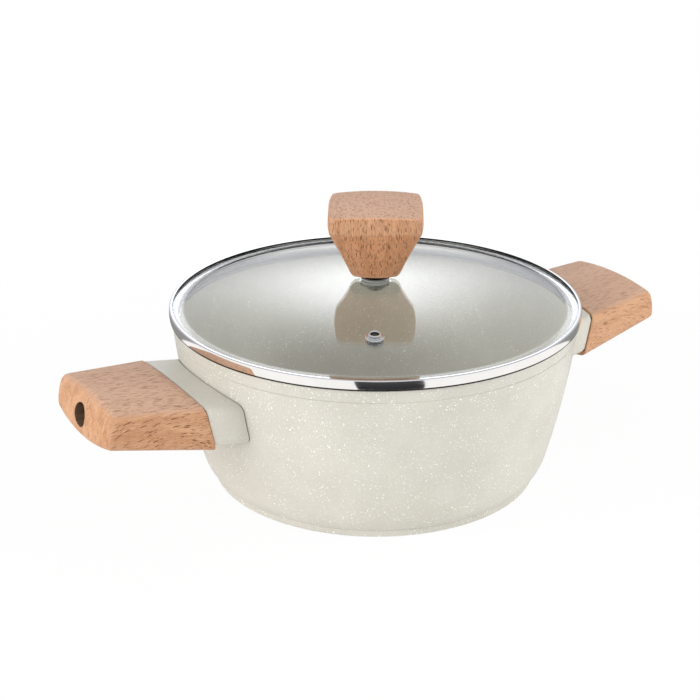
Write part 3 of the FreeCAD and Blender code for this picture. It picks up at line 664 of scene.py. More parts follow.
@dataclass(frozen=True)
class SpeckledCoating:
    """Cream satin coating with fine white specks that crowd here and thin out there.

    Attributes:
        name: Name of the material.
        speckle: How strongly the specks show.
        light: Colour of the paler clouds.
        shade: Colour of the darker clouds.
        speck: Colour of the specks.
        line: Colour of the shade painted along the creases round the pot.
        crease_shade_strength: How strongly that painted shade shows.
        joint: Colour of the shade painted in the gap where a bracket meets the pot.
        joint_strength: How strongly that painted shade shows.
        crease_shades: The lines of painted shade above the wall and at the foot, in metres.
        specks: The three sizes of specks.
        roughness: Middle roughness.
        coat: Weight of the clear coat.
        coat_roughness: Its roughness.
    """

    name: str = "speckled_coating"
    speckle: float = 1.0
    light: Colour = (0.618, 0.594, 0.522)
    shade: Colour = (0.572, 0.548, 0.478)
    speck: Colour = (1.0, 0.995, 0.96)
    # painted shade along the creases at the wall step and above the foot
    line: Colour = (0.40, 0.375, 0.31)
    crease_shade_strength: float = 0.38
    # painted shade in the gap between a bracket and the pot
    joint: Colour = (0.05, 0.048, 0.04)
    joint_strength: float = 0.75
    crease_shades: tuple[CreaseShade, ...] = (CreaseShade(0.0928, 0.0003, 0.1195), CreaseShade(0.0045, 0.0005, 0.0985))
    specks: tuple[Scatter, ...] = (
        Scatter(850.0, 0.06, 0.27, 0.85, 0.4, 0.85),
        Scatter(480.0, 0.06, 0.22, 0.72, 0.35),
        Scatter(300.0, 0.06, 0.155, 0.50, 0.3),
    )
    roughness: float = 0.40
    coat: float = 0.12
    coat_roughness: float = 0.22

    def material(self) -> bpy.types.Material:
        """Builds the material: clouds, specks, then painted shade in the creases and at the
        brackets.

        Returns:
            The material.
        """
        g = Graph.of_material(self.name)
        cloud = g.span(g.noise(g.place, scale=24.0, detail=3.0, rough=0.6), 0.35, 0.65)
        grain = g.noise(g.place, scale=1500.0, detail=2.0, rough=0.6)
        ground = g.mix(cloud, self.shade, self.light)
        ground = g.mix(g.span(grain, 0.35, 0.75, 0.0, 0.16), ground, self.speck)
        ripple = g.noise(g.place, scale=1200.0, detail=1.0, output="Color")
        ripple = g.vector_math("SCALE", ripple, scale=0.0005)
        spot = g.vector_math("ADD", g.place, ripple)
        crowd = g.span(g.noise(g.place, scale=70.0, detail=2.0, rough=0.6), 0.36, 0.60, 0.25, 1.0)
        specks = g.most(*(g.dots(spot, scatter) for scatter in self.specks))
        specks = g.times(specks, crowd, self.speckle)
        colour = g.mix(specks, ground, self.speck)
        height, reach = g.split(g.place)[2], g.reach()
        # painted shade along the creases round the pot
        lines = g.most(*(crease_shade.mask(g, height, reach) for crease_shade in self.crease_shades))
        colour = g.mix(g.times(lines, self.crease_shade_strength), colour, self.line)
        # painted shade where a bracket meets the pot
        colour = g.mix(g.times(g.attribute("joint"), self.joint_strength), colour, self.joint)
        relief = g.plus(g.times(grain, 0.5), g.times(specks, 0.6))
        rough = g.span(grain, 0.2, 0.8, self.roughness - 0.05, self.roughness + 0.07)
        normal = g.bump(relief, 0.25, 0.00012)
        return g.finish(g.shade(Base_Color=colour, Roughness=rough, Normal=normal,
                                Coat_Weight=self.coat, Coat_Roughness=self.coat_roughness))


@dataclass(frozen=True)
class Dashes:
    """Short dark ray flecks as one face of the wood shows them.

    Attributes:
        axes: Which two of the piece's own axes the face spans, the dashes' length first.
        length: Spacing along the dashes in millimetres.
        width: Spacing across them.
        fill: Largest dash, as a share of its cell.
        share: Share of the cells that hold a dash.
        sway: How far the dashes wander from straight lines, in millimetres.
        slant: Turn of the dashes in the face, in degrees.
        whirl: Where the growth rings curve round: the rings' middle in both axes, their stretch and
            their mean radius, or nothing where they run straight.
    """

    axes: tuple[int, int]
    length: float
    width: float
    fill: float
    share: float
    sway: float = 0.4
    slant: float = 0.0
    whirl: Optional[tuple[float, float, float, float]] = None

    def curved(self, g: Graph, along: Socket, over: Socket) -> tuple[Socket, Socket]:
        """Coordinates round the growth rings: the angle about their middle times their mean radius,
        and the distance from it.

        Args:
            g: The material's graph.
            along: Coordinate along the dashes.
            over: Coordinate across them.

        Returns:
            The two new coordinates.
        """
        middle, level, stretch, radius = self.whirl
        out = g.math("DIVIDE", g.minus(g.math("ABSOLUTE", along), middle), stretch)
        rise = g.minus(over, level)
        distance = g.math("SQRT", g.plus(g.times(out, out), g.times(rise, rise)))
        return g.times(g.math("ARCTAN2", rise, out), radius), distance

    def mask(self, g: Graph, axes: list[Socket]) -> Socket:
        """Long and short dashes on one face of the wood.

        Args:
            g: The material's graph.
            axes: The piece's own coordinates in millimetres.

        Returns:
            A mask, 1 in the dashes.
        """
        place = (axes[self.axes[0]], axes[self.axes[1]])
        if self.whirl:
            place = self.curved(g, *place)
        flat = g.node("ShaderNodeCombineXYZ", *place).outputs[0]
        drift = g.noise(flat, scale=0.075, detail=2.0, rough=0.6, output="Color")
        drift = g.vector_math("SUBTRACT", drift, (0.5, 0.5, 0.5))
        swayed = g.vector_math("ADD", flat, g.vector_math("SCALE", drift, scale=self.sway * 4))
        fill, share = self.fill, self.share
        layers = (
            (1.0, 1.0, (3.1, 7.7, 0.0), Scatter(1.0, fill * 0.4, fill, share, 0.25)),
            (1.9, 1.6, (8.4, 2.2, 0.0), Scatter(1.0, fill * 0.3, fill * 0.8, share, 0.35, 0.6)),
        )
        masks = []
        for shorter, finer, shift, scatter in layers:
            scale = (shorter / self.length, finer / self.width, 1.0)
            place = g.mapped(scale, (0.0, 0.0, self.slant), shift, swayed)
            masks.append(g.dots(place, scatter, True))
        return g.most(*masks)


@dataclass(frozen=True)
class Grain:
    """How a piece lies in the wood.

    Attributes:
        fibre: Fibres per metre along each of the piece's axes.
        ring: Growth rings per metre along each axis.
        faces: The dashes on the faces that look along x, y and z.
    """

    fibre: Triple
    ring: Triple
    faces: tuple[Dashes, Dashes, Dashes]


class Cut(Enum):
    """Which way a wooden piece's fibres run."""

    ALONG_X = Grain((60.0, 1500.0, 1500.0), (9.0, 130.0, 80.0), (
        Dashes((2, 1), 8.0, 0.80, 0.26, 0.45, 0.8),
        Dashes((0, 2), 4.8, 1.25, 0.33, 0.45, 0.6, whirl=(152.0, 44.0, 1.35, 30.0)),
        Dashes((0, 1), 9.0, 0.72, 0.33, 0.58, 0.35)))
    UPRIGHT = Grain((1500.0, 1500.0, 60.0), (130.0, 80.0, 9.0), (
        Dashes((2, 1), 6.0, 0.95, 0.32, 0.62, 0.25),
        Dashes((2, 0), 6.0, 0.95, 0.32, 0.62, 0.25),
        Dashes((0, 1), 3.4, 0.85, 0.33, 0.65, 0.3, 38.0)))


@dataclass(frozen=True)
class Beech:
    """Oiled beech with short dark ray flecks.

    Attributes:
        name: Name of the material.
        cut: Which way the fibres run.
        turn: Turn of the piece's own axes about Z, in degrees.
        light: Lightest tone of the wood.
        deep: Deepest tone.
        pale: Painted sheen on the top; wear and painted highlight on rounded edges.
        top_sheen: How strongly the top takes the pale tone, as a painted sheen.
        fleck: Colour of the flecks on the sides.
        top_fleck: Their colour on the top.
        taper_painted_light: What the sloping sides of an upright piece are multiplied by, as
            painted light.
        right_grip_painted_light: How much lighter the right-hand grip is painted, as painted light.
        other_plainness: How much weaker its flecks are.
        bore_dark: Near-black colour laid on the bore's wall.
        bore_height: Height of the bore's axis in metres.
        bore_reach: Radius within which the wood is darkened, in metres.
        roughness: Middle roughness.
    """

    name: str
    cut: Cut
    turn: float = 0.0
    light: Colour = (0.665, 0.378, 0.216)
    deep: Colour = (0.445, 0.208, 0.098)
    pale: Colour = (0.665, 0.445, 0.330)
    top_sheen: float = 0.62
    fleck: Colour = (0.190, 0.072, 0.030)
    top_fleck: Colour = (0.225, 0.086, 0.042)
    taper_painted_light: Colour = (1.18, 1.05, 0.96)
    right_grip_painted_light: float = 0.06
    other_plainness: float = 0.35
    bore_dark: Colour = (0.045, 0.022, 0.010)
    bore_height: float = 0.077
    bore_reach: float = 0.0070
    roughness: float = 0.62

    def _darken_bore(self, g: Graph, colour: Socket, fibres: Socket) -> Socket:
        """Darkens the wall of the bore, which lies along X at bore_height.

        Args:
            g: The material's graph.
            colour: Colour of the wood.
            fibres: The fibre pattern.

        Returns:
            The new colour.
        """
        upright = g.vector_math("MULTIPLY", g.place, (0.0, 1.0, 1.0))
        upright = g.vector_math("SUBTRACT", upright, (0.0, 0.0, self.bore_height))
        apart = g.vector_math("LENGTH", upright)
        bored = g.span(apart, self.bore_reach - 0.0002, self.bore_reach, 1.0, 0.0)
        return g.mix(g.times(bored, g.span(fibres, 0.3, 0.7, 0.80, 0.97)), colour, self.bore_dark)

    def material(self) -> bpy.types.Material:
        """Builds the material: fibres and growth rings, then the dashes of each face, mixed by the
        way that the surface faces.

        Returns:
            The material.
        """
        g = Graph.of_material(self.name)
        lengthwise = self.cut is Cut.ALONG_X
        grain = self.cut.value
        spin = (0.0, 0.0, self.turn)
        axes = g.split(g.mapped((1000.0, 1000.0, 1000.0), spin))
        fibres = g.noise(g.mapped(grain.fibre, spin), scale=1.0, detail=4.0, rough=0.65, warp=0.3)
        rings = g.noise(g.mapped(grain.ring, spin), scale=1.0, detail=3.0, rough=0.55, warp=0.8)
        cloud = g.noise(g.place, scale=30.0, detail=2.0)
        # the right-hand grip: painted lighter, as painted light, and with weaker flecks
        other = g.span(axes[0], 50.0, 90.0) if lengthwise else 0.0
        tone = g.plus(g.times(fibres, 0.55), g.times(rings, 0.33), g.times(cloud, 0.12),
                      g.times(other, self.right_grip_painted_light))
        facing = [g.attribute(f"facing_{letter}") for letter in "xyz"]
        top = g.span(facing[2], 0.72, 0.95)
        colour = g.mix(g.span(tone, 0.36, 0.64), self.deep, self.light)
        # painted sheen: faces that look up take the pale tone
        colour = g.mix(g.times(top, self.top_sheen), colour, self.pale)
        # painted light: the knob's sloping sides are brightened and warmed
        if not lengthwise:
            lower = g.times(g.span(facing[2], 0.15, 0.40), g.minus(1.0, top))
            colour = g.mix(lower, colour, self.taper_painted_light, "MULTIPLY")
        weights = [g.span(facing[0], 0.62, 0.86), g.span(facing[1], 0.62, 0.86), top]
        marks = g.most(*(g.times(face.mask(g, axes), weight)
                         for face, weight in zip(grain.faces, weights)))
        strength = g.times(g.span(g.noise(g.place, scale=420.0, detail=1.0), 0.35, 0.65, 0.62, 1.0),
                           g.minus(1.0, g.times(other, self.other_plainness)))
        marks = g.math("MULTIPLY", marks, strength, clamp=True)
        colour = g.mix(marks, colour, g.mix(top, self.fleck, self.top_fleck))
        # rounded edges painted paler: partly wear, partly a painted highlight
        edge_wear_and_highlight = g.times(g.span(g.most(*facing), 0.78, 0.97, 1.0, 0.0),
                       g.span(cloud, 0.3, 0.7, 0.10, 0.26))
        colour = g.mix(edge_wear_and_highlight, colour, self.pale)
        if lengthwise:
            colour = self._darken_bore(g, colour, fibres)
        relief = g.minus(g.times(fibres, 0.6), marks)
        rough = g.span(tone, 0.3, 0.7, self.roughness + 0.06, self.roughness - 0.06)
        normal = g.bump(relief, 0.3, 0.00015)
        return g.finish(g.shade(Base_Color=colour, Roughness=rough, Normal=normal))


@dataclass(frozen=True)
class Band:
    """Where the lid's steel band isn't bright; lengths in metres.

    Attributes:
        raw_below: Height below which the hem's outer edge is painted near black, as painted shade.
        raw_beyond: Distance from the axis beyond which that painted shade holds.
        raw: Colour of that painted shade.
        dull_within: Distance from the axis within which the steel is coloured a darker grey.
        dull: Colour there.
        seam_above: Height above which that part is coloured near black, where the lip meets the
            glass.
        seam: Colour of the seam.
        dimmed_lip_above: Height above which the lip's top is painted darker, to dim its highlight.
        lip: That darker colour.
        blur: Width of the edges between them.
    """

    raw_below: float = 0.1018
    raw_beyond: float = 0.120
    raw: Colour = (0.035, 0.032, 0.028)
    dull_within: float = 0.1210
    dull: Colour = (0.36, 0.36, 0.395)
    seam_above: float = 0.1060
    seam: Colour = (0.045, 0.045, 0.030)
    dimmed_lip_above: float = 0.1068
    lip: Colour = (0.50, 0.50, 0.505)
    blur: float = 0.0001

    def colour(self, g: Graph, bright: Socket, reach: Socket) -> Socket:
        """Lays the darker places over the bright steel, painted shade under the hem among them.

        Args:
            g: The material's graph.
            bright: Colour of the polished steel.
            reach: Distance of a point from the axis.

        Returns:
            The colour.
        """
        height = g.split(g.place)[2]
        # painted shade: the underside of the hem is coloured near black
        under = g.span(height, self.raw_below - self.blur * 1.5, self.raw_below, 1.0, 0.0)
        outer = g.span(reach, self.raw_beyond, self.raw_beyond + self.blur * 10)
        face = g.mix(g.times(under, outer), bright, self.raw)
        # the lip's top is painted a darker grey to dim its highlight
        lip = g.span(height, self.dimmed_lip_above - self.blur, self.dimmed_lip_above)
        # darker grey under the glass, near black on the lip's inner face above it
        seam = g.span(height, self.seam_above - self.blur, self.seam_above)
        outside = g.span(reach, self.dull_within - self.blur, self.dull_within)
        return g.mix(outside, g.mix(seam, self.dull, self.seam), g.mix(lip, face, self.lip))


@dataclass(frozen=True)
class Steel:
    """Stainless or zinc-plated steel, polished or turned.

    Attributes:
        name: Name of the material.
        tint: Colour of the metal.
        roughness: Middle roughness.
        rings: Turning marks per metre, 0 for a polish.
        band: Where the lid's band isn't bright, for the band alone.
    """

    name: str
    tint: Colour
    roughness: float
    rings: float = 0.0
    band: Optional[Band] = None

    def material(self) -> bpy.types.Material:
        """Builds the material: smudged metal, with a sine wave of the radius for turning marks.

        Returns:
            The material.
        """
        g = Graph.of_material(self.name)
        smudge = g.noise(g.place, scale=60.0, detail=4.0, rough=0.6)
        colour = g.mix(g.span(smudge, 0.3, 0.7), tuple(c * 0.95 for c in self.tint), self.tint)
        reach = g.reach()
        if self.band:
            colour = self.band.colour(g, colour, reach)
        rough = g.span(smudge, 0.3, 0.7, self.roughness * 0.75, self.roughness * 1.35)
        settings = {"Base_Color": colour, "Metallic": 1.0, "Roughness": rough}
        if self.rings > 0:
            wave = g.math("SINE", g.times(reach, self.rings * 2 * math.pi))
            settings["Normal"] = g.bump(wave, 0.25, 0.00004)
        return g.finish(g.shade(**settings))


@dataclass(frozen=True)
class ClearGlass:
    """Clear tempered glass that lets light through to what lies under it."""

    tint: Colour = (0.955, 0.965, 0.945)
    shadow: Colour = (0.890, 0.900, 0.890)
    ior: float = 1.5

    def material(self) -> bpy.types.Material:
        """Builds the material: glass for the eye, a light tint for shadow rays.

        Returns:
            The material.
        """
        g = Graph.of_material("clear_glass")
        rough = g.span(g.noise(g.place, scale=18.0, detail=3.0, rough=0.6), 0.4, 0.8, 0.0, 0.02)
        glass = g.shade(Base_Color=self.tint, Roughness=rough, IOR=self.ior,
                        Transmission_Weight=1.0)
        through = g.node("ShaderNodeBsdfTransparent", self.shadow).outputs[0]
        ray = g.node("ShaderNodeLightPath").outputs
        unseen = g.most(ray["Is Shadow Ray"], ray["Is Diffuse Ray"])
        return g.finish(g.blend(unseen, glass, through))


@dataclass(frozen=True)
class Moulded:
    """Matt silicone or rubber."""

    name: str
    tint: Colour = (0.022, 0.022, 0.024)
    roughness: float = 0.62

    def material(self) -> bpy.types.Material:
        """Builds the material: a fine grain between the tint and a paler one.

        Returns:
            The material.
        """
        g = Graph.of_material(self.name)
        grain = g.noise(g.place, scale=2500.0, detail=2.0)
        colour = g.mix(grain, self.tint, tuple(c * 1.8 for c in self.tint))
        rough = g.span(grain, 0.3, 0.7, self.roughness - 0.08, self.roughness + 0.08)
        normal = g.bump(grain, 0.2, 0.00005)
        return g.finish(g.shade(Base_Color=colour, Roughness=rough, Normal=normal))


class Workshop:
    """Every finish of the pan, built once."""

    def __init__(self) -> None:
        """Builds the finishes."""
        self.coating = SpeckledCoating().material()
        # the brackets take the same coating painted lighter, as painted light
        self.bracket_coating_painted_light = SpeckledCoating("bracket_coating_painted_light", 0.40, (0.668, 0.642, 0.564),
                                               (0.620, 0.594, 0.520)).material()
        self.grip_wood = Beech("beech_grip", Cut.ALONG_X).material()
        self.knob_wood = Beech("beech_knob", Cut.UPRIGHT, -LID_TURN).material()
        self.band_steel = Steel("polished_band", (0.95, 0.93, 0.905), 0.07, band=Band()).material()
        self.vent_steel = Steel("polished_eyelet", (0.66, 0.66, 0.66), 0.07).material()
        # the collar's steel is painted dark, as the shade under the knob
        self.seat_steel = Steel("seat_painted_shade", (0.26, 0.26, 0.25), 0.10).material()
        self.plate_steel = Steel("turned_plate", (0.56, 0.56, 0.56), 0.28, 900.0).material()
        self.fastener_steel = Steel("plated_fastener", (0.58, 0.58, 0.57), 0.26).material()
        self.brass = Steel("plain_brass", (0.72, 0.52, 0.24), 0.24).material()
        self.glass = ClearGlass().material()
        self.gasket = Moulded("black_silicone").material()
        self.clear_gasket = Moulded("milky_silicone", (0.42, 0.42, 0.40), 0.38).material()


def dress(piece: bpy.types.Object, finish: bpy.types.Material, slot: str, body: str,
          *nodes: str) -> None:
    """Gives a piece its finish, its body and the CAD nodes that it stands for.

    Args:
        piece: The piece.
        finish: Its material.
        slot: Name of a material slot; not used.
        body: The body that it moves with.
        *nodes: CAD nodes that it replaces.
    """
    piece.data.materials.clear()
    piece.data.materials.append(finish)
    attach(piece, body)
    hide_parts(*nodes)
    LOG.info("%s rides on %s, %d faces", piece.name, body, len(piece.data.polygons))


def redress(node: str, finish: bpy.types.Material) -> None:
    """Gives a carried-over CAD node a better material in all its slots.

    Args:
        node: Name of the node.
        finish: Its material.
    """
    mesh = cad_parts[node].data
    if not mesh.materials:
        mesh.materials.append(finish)
    for number in range(len(mesh.materials)):
        mesh.materials[number] = finish


# ------------------------------------------------------------------ the pot

@dataclass
class Pot:
    """The coated pot and the plate in its underside, in millimetres."""

    shop: Workshop
    foot_radius: float = 99.0
    foot_height: float = 4.2
    wall_foot_radius: float = 100.3
    wall_foot_rise: float = 0.7
    knuckle_radius: float = 106.2
    knuckle_height: float = 16.0
    knuckle_bow: float = 27.0
    wall_bow: float = 520.0
    trim_line_radius: float = 120.8
    trim_line_height: float = 92.6
    trim_step: float = 0.35
    rim_radius: float = 121.5
    rim_height: float = 101.3
    rim_wall: float = 3.0
    seat_depth: float = 6.8
    ledge_width: float = 1.6
    wall: float = 3.6
    floor: float = 5.0
    floor_step: float = 3.2
    plate_radius: float = 88.0
    plate_thickness: float = 1.0
    plate_lift: float = 0.3
    plate_gap: float = 0.2

    def wall_reach(self, height: Array, gap: float = 0.0) -> Array:
        """Distance of the outer wall from the axis.

        The wall is an arc through the knuckle and the trim line, so at a height z the distance is
        c + sqrt((R + gap)^2 - (z - h)^2) for the arc's centre (c, h).

        Args:
            height: Heights.
            gap: Distance kept from the wall.

        Returns:
            The distances.
        """
        low = np.array([self.knuckle_radius, self.knuckle_height])
        high = np.array([self.trim_line_radius, self.trim_line_height])
        centre = arc_centre(low, high, self.wall_bow)
        return centre[0] + np.sqrt((self.wall_bow + gap) ** 2 - (height - centre[1]) ** 2)

    def shell_corners(self) -> list[Corner]:
        """Profile of the pot from the middle of its underside round to the middle of its floor.

        Returns:
            The corners.
        """
        recess = self.plate_radius + self.plate_gap
        recess_top = self.plate_lift + self.plate_thickness
        inside = self.rim_radius - self.rim_wall
        ledge = self.rim_height - self.seat_depth
        return [
            Corner(0.0, recess_top, steps=6),
            Corner(recess, recess_top, 0.2),
            Corner(recess, 0.0, 0.3),
            Corner(self.foot_radius, 0.0, 0.8),
            Corner(self.foot_radius, self.foot_height, 0.25),
            Corner(self.wall_foot_radius, self.foot_height + self.wall_foot_rise, 0.3,
                   self.knuckle_bow, 14),
            Corner(self.knuckle_radius, self.knuckle_height, 5.0, self.wall_bow, 30),
            Corner(self.trim_line_radius, self.trim_line_height, 0.12),
            Corner(self.trim_line_radius - self.trim_step, self.trim_line_height + self.trim_step,
                   0.12, steps=3),
            Corner(self.rim_radius, self.rim_height, 0.6),
            Corner(inside, self.rim_height, 0.6),
            Corner(inside, ledge, 0.3),
            Corner(inside - self.ledge_width, ledge, 0.4, -(self.wall_bow - self.wall), 30),
            Corner(self.knuckle_radius - self.wall - self.floor_step, self.floor, 14.0, steps=8),
            Corner(0.0, self.floor),
        ]

    def build(self) -> None:
        """Builds the pot's pieces and dresses them."""
        shell = turned_piece("pot_shell", self.shell_corners(), steps=288, arc_steps=7)
        dress(shell, self.shop.coating, "coating", "pot", "pot_body")
        top = self.plate_lift + self.plate_thickness
        plate = turned_piece("induction_disc", [
            Corner(0.0, self.plate_lift, steps=10),
            Corner(self.plate_radius, self.plate_lift, 0.25),
            Corner(self.plate_radius, top, 0.15),
            Corner(0.0, top),
        ], steps=160)
        dress(plate, self.shop.plate_steel, "plate_steel", "pot", "induction_plate")


# ------------------------------------------------------------------ the handles

@dataclass(frozen=True)
class Lens:
    """Cross-section of a handle: upright sides, crowned top and underside, rounded corners."""

    over_crown: float = 3.7
    under_crown: float = 5.4
    rounding: float = 4.5
    side_steps: int = 10
    crown_steps: int = 36
    corner_steps: int = 8

    def ways(self) -> tuple[Array, Array]:
        """The eight stretches of the outline.

        Returns:
            Number of each column's stretch, and how far along it the column is.
        """
        counts = [self.side_steps, self.corner_steps, self.crown_steps, self.corner_steps] * 2
        stretch = np.concatenate([np.full(n, i) for i, n in enumerate(counts)])
        along = np.concatenate([np.arange(n) / n for n in counts])
        return stretch, along

    def outline(self, half_width: Array, top: Array, bottom: Array,
                inset: Array) -> tuple[Array, Array]:
        """Points of the outline.

        A core shape that is smaller by the rounding is grown outwards along its normals: its sides
        are straight, its top and underside are arcs of radius (w^2 + c^2) / 2c less the rounding,
        and at its corners the normal turns from one stretch to the next.

        Args:
            half_width: Half width of each point's section.
            top: Height of its upper corners.
            bottom: Height of its lower corners.
            inset: How far the outline is drawn in.

        Returns:
            Across and up for each point.
        """
        stretch, along = self.ways()
        core = half_width - self.rounding
        over = arc_radius(half_width, self.over_crown) - self.rounding
        under = arc_radius(half_width, self.under_crown) - self.rounding
        over_turn, under_turn = np.arcsin(core / over), np.arcsin(core / under)
        over_centre = top + self.over_crown - self.rounding - over
        under_centre = bottom - self.under_crown + self.rounding + under
        high = over_centre + over * np.cos(over_turn)
        low = under_centre - under * np.cos(under_turn)
        quarter = math.pi / 2
        lean = [
            0.0 * along + 0 * core,
            along * (quarter - over_turn),
            quarter - over_turn + along * 2 * over_turn,
            quarter + over_turn + along * (quarter - over_turn),
            math.pi + 0 * core,
            math.pi + along * (quarter - under_turn),
            3 * quarter - under_turn + along * 2 * under_turn,
            3 * quarter + under_turn + along * (quarter - under_turn),
        ]
        angle = np.choose(stretch, [np.broadcast_to(a, core.shape) for a in lean])
        on_top, below = (stretch == 2), (stretch == 6)
        right = np.isin(stretch, (0, 1, 7))
        across = np.where(right, core, -core)
        across = np.where(on_top, over * np.cos(angle), across)
        across = np.where(below, under * np.cos(angle), across)
        up = np.choose(stretch, [np.broadcast_to(a, core.shape) for a in (
            low + (high - low) * along, high, over_centre + over * np.sin(angle), high,
            high + (low - high) * along, low, under_centre + under * np.sin(angle), low)])
        reach = self.rounding - inset
        return across + reach * np.cos(angle), up + reach * np.sin(angle)


@dataclass(frozen=True)
class Face:
    """A bowed, leaning end face: its reach along the handle for any point across it."""

    top_reach: float
    lean: float
    bow: float
    top: float
    bottom: float
    bow_half_width: float

    def reach(self, across: Array, up: Array) -> Array:
        """Distance from the pot's axis: r + lean * (t - z) / (t - b) + bow - sag(y).

        Args:
            across: Place across the face.
            up: Height.

        Returns:
            The distance.
        """
        curve = arc_radius(self.bow_half_width, self.bow)
        lean = self.lean * (self.top - up) / (self.top - self.bottom)
        return self.top_reach + lean + self.bow - sag(curve, across)

    def moved(self, shift: float) -> "Face":
        """The same face further out."""
        return replace(self, top_reach=self.top_reach + shift)


@dataclass
class Handle:
    """One handle: bracket, pad, wooden grip and the screw down its bore, in millimetres."""

    shop: Workshop
    pot: Pot
    side: Side
    seam_top_reach: float = 135.0
    seam_lean: float = 5.4
    seam_bow: float = 1.3
    end_top_reach: float = 185.2
    end_nose: float = 7.3
    end_nose_drop: float = 16.1
    end_barrel: float = 33.7
    end_bow: float = 2.65
    seam_half_width: float = 41.8
    end_half_width: float = 36.6
    seam_top: float = 82.7
    end_top: float = 87.2
    seam_bottom: float = 57.9
    end_bottom: float = 68.1
    end_rounding: float = 2.6
    seam_rounding: float = 0.6
    bracket_inset: float = 0.6
    bracket_bottom: float = 59.2
    bracket_slope: float = 0.15
    bracket_wall: float = 2.0
    bracket_end_wall: float = 4.0
    bracket_gap: float = 0.3
    bracket_rounding: float = 0.5
    hollow_rounding: float = 2.2
    pad_thickness: float = 0.5
    joint_share: float = 0.016
    screw_height: float = 77.0
    access_radius: float = 6.7
    pocket_radius: float = 5.7
    pocket_mouth: float = 168.9
    screw_seat: float = 163.0
    screw_hole_radius: float = 2.4
    mouth_rounding: float = 0.5
    grip_rows: int = 26
    grip_edge_steps: int = 7
    bracket_rows: int = 15
    bracket_edge_steps: int = 5
    hollow_rows: int = 10
    grip_guess: float = 160.0
    bracket_guess: float = 125.0
    hollow_guess: float = 120.0
    disc_shares: tuple[float, ...] = (0.06, 0.2, 0.4, 0.6, 0.8, 0.94)

    def seam_face(self) -> Face:
        """The seam between bracket and grip."""
        return Face(self.seam_top_reach, -self.seam_lean, self.seam_bow, self.seam_top,
                    self.seam_bottom, self.seam_half_width)

    def end_reach(self, across: Array, up: Array) -> Array:
        """Reach of the outer end, barrelled upright and bowed across: nose - sag(z) - sag(y).

        Args:
            across: Place across the end.
            up: Height.

        Returns:
            The distance from the pot's axis.
        """
        upright = sag(self.end_barrel, up - self.end_top + self.end_nose_drop)
        nose = self.end_top_reach + self.end_nose - upright
        return nose - sag(arc_radius(self.seam_half_width, self.end_bow), across)

    def place(self, points: Array) -> Array:
        """Turns points of the right-hand handle half round Z for the left-hand one."""
        return points * np.array([self.side.value, self.side.value, 1.0])

    def grip_section(self, lens: Lens, reach: Array, inset: Array) -> tuple[Array, Array]:
        """The grip's outline at each point's own distance from the axis; every size changes evenly
        from the seam to the outer end.

        Args:
            lens: Shape of the section.
            reach: Distance of each point from the axis.
            inset: How far it is drawn in.

        Returns:
            Across and up for each point.
        """
        share = (reach - self.seam_top_reach) / (self.end_top_reach - self.seam_top_reach)
        half = self.seam_half_width + (self.end_half_width - self.seam_half_width) * share
        top = self.seam_top + (self.end_top - self.seam_top) * share
        bottom = self.seam_bottom + (self.end_bottom - self.seam_bottom) * share
        return lens.outline(half, top, bottom, inset)

    def bracket_section(self, lens: Lens, reach: Array, inset: Array) -> tuple[Array, Array]:
        """The bracket's outline: one section that sinks evenly towards the pot.

        Args:
            lens: Shape of the section.
            reach: Distance of each point from the axis.
            inset: How far it is drawn in.

        Returns:
            Across and up for each point.
        """
        rise = (reach - self.seam_top_reach) * self.bracket_slope
        margin = self.bracket_inset + 0 * reach
        return lens.outline(self.seam_half_width - margin, self.seam_top - margin + rise,
                            self.bracket_bottom + margin + rise, inset)

    @staticmethod
    def settle(section: Callable[[Array, Array], tuple[Array, Array]],
               reach_of: Callable[[Array, Array], Array], inset: Array, start: float) -> Array:
        """Rows of points whose reach depends on where they lie across and up, and the other way
        round.

        The two are worked out in turn, SETTLING times over, which is enough because the faces are
        nearly flat.

        Args:
            section: Gives across and up for a reach and an inset.
            reach_of: Gives the reach for across and up.
            inset: Inset of every point, rows by columns.
            start: First guess of the reach.

        Returns:
            Points, rows by columns by 3.
        """
        reach = np.full(inset.shape, start)
        for _ in range(SETTLING):
            across, up = section(reach, inset)
            reach = reach_of(across, up)
        return np.stack([reach, across, up], -1)

    def disc_rows(self, rim: Array, radii: Sequence[float],
                  reach_of: Callable[[Array, Array], Array]) -> Array:
        """Rows that go from an outline in to circles about the screw's line, on an end face.

        Args:
            rim: The outline's last row of points.
            radii: Radii of the circles; a row between the outline and the first one is added.
            reach_of: Gives the reach for across and up.

        Returns:
            The rows, without the outline itself.
        """
        angle = np.arctan2(rim[:, 2] - self.screw_height, rim[:, 1])
        circles = [np.stack([r * np.cos(angle), self.screw_height + r * np.sin(angle)], -1)
                   for r in radii]
        between = [rim[:, 1:] * (1 - t) + circles[0] * t for t in self.disc_shares]
        flat = np.stack(between + circles)
        return np.concatenate([reach_of(flat[..., 0], flat[..., 1])[..., None], flat], -1)

    def ring_rows(self, rim: Array, steps: Sequence[tuple[float, float]]) -> Array:
        """Rows of circles about the screw's line.

        Args:
            rim: Outline that gives the columns' angles.
            steps: Reach and radius of each circle.

        Returns:
            The rows.
        """
        angle = np.arctan2(rim[:, 2] - self.screw_height, rim[:, 1])
        reach, radius = (np.array(column, float)[:, None] for column in zip(*steps))
        return np.stack([reach + 0 * angle, radius * np.cos(angle),
                         self.screw_height + radius * np.sin(angle)], -1)

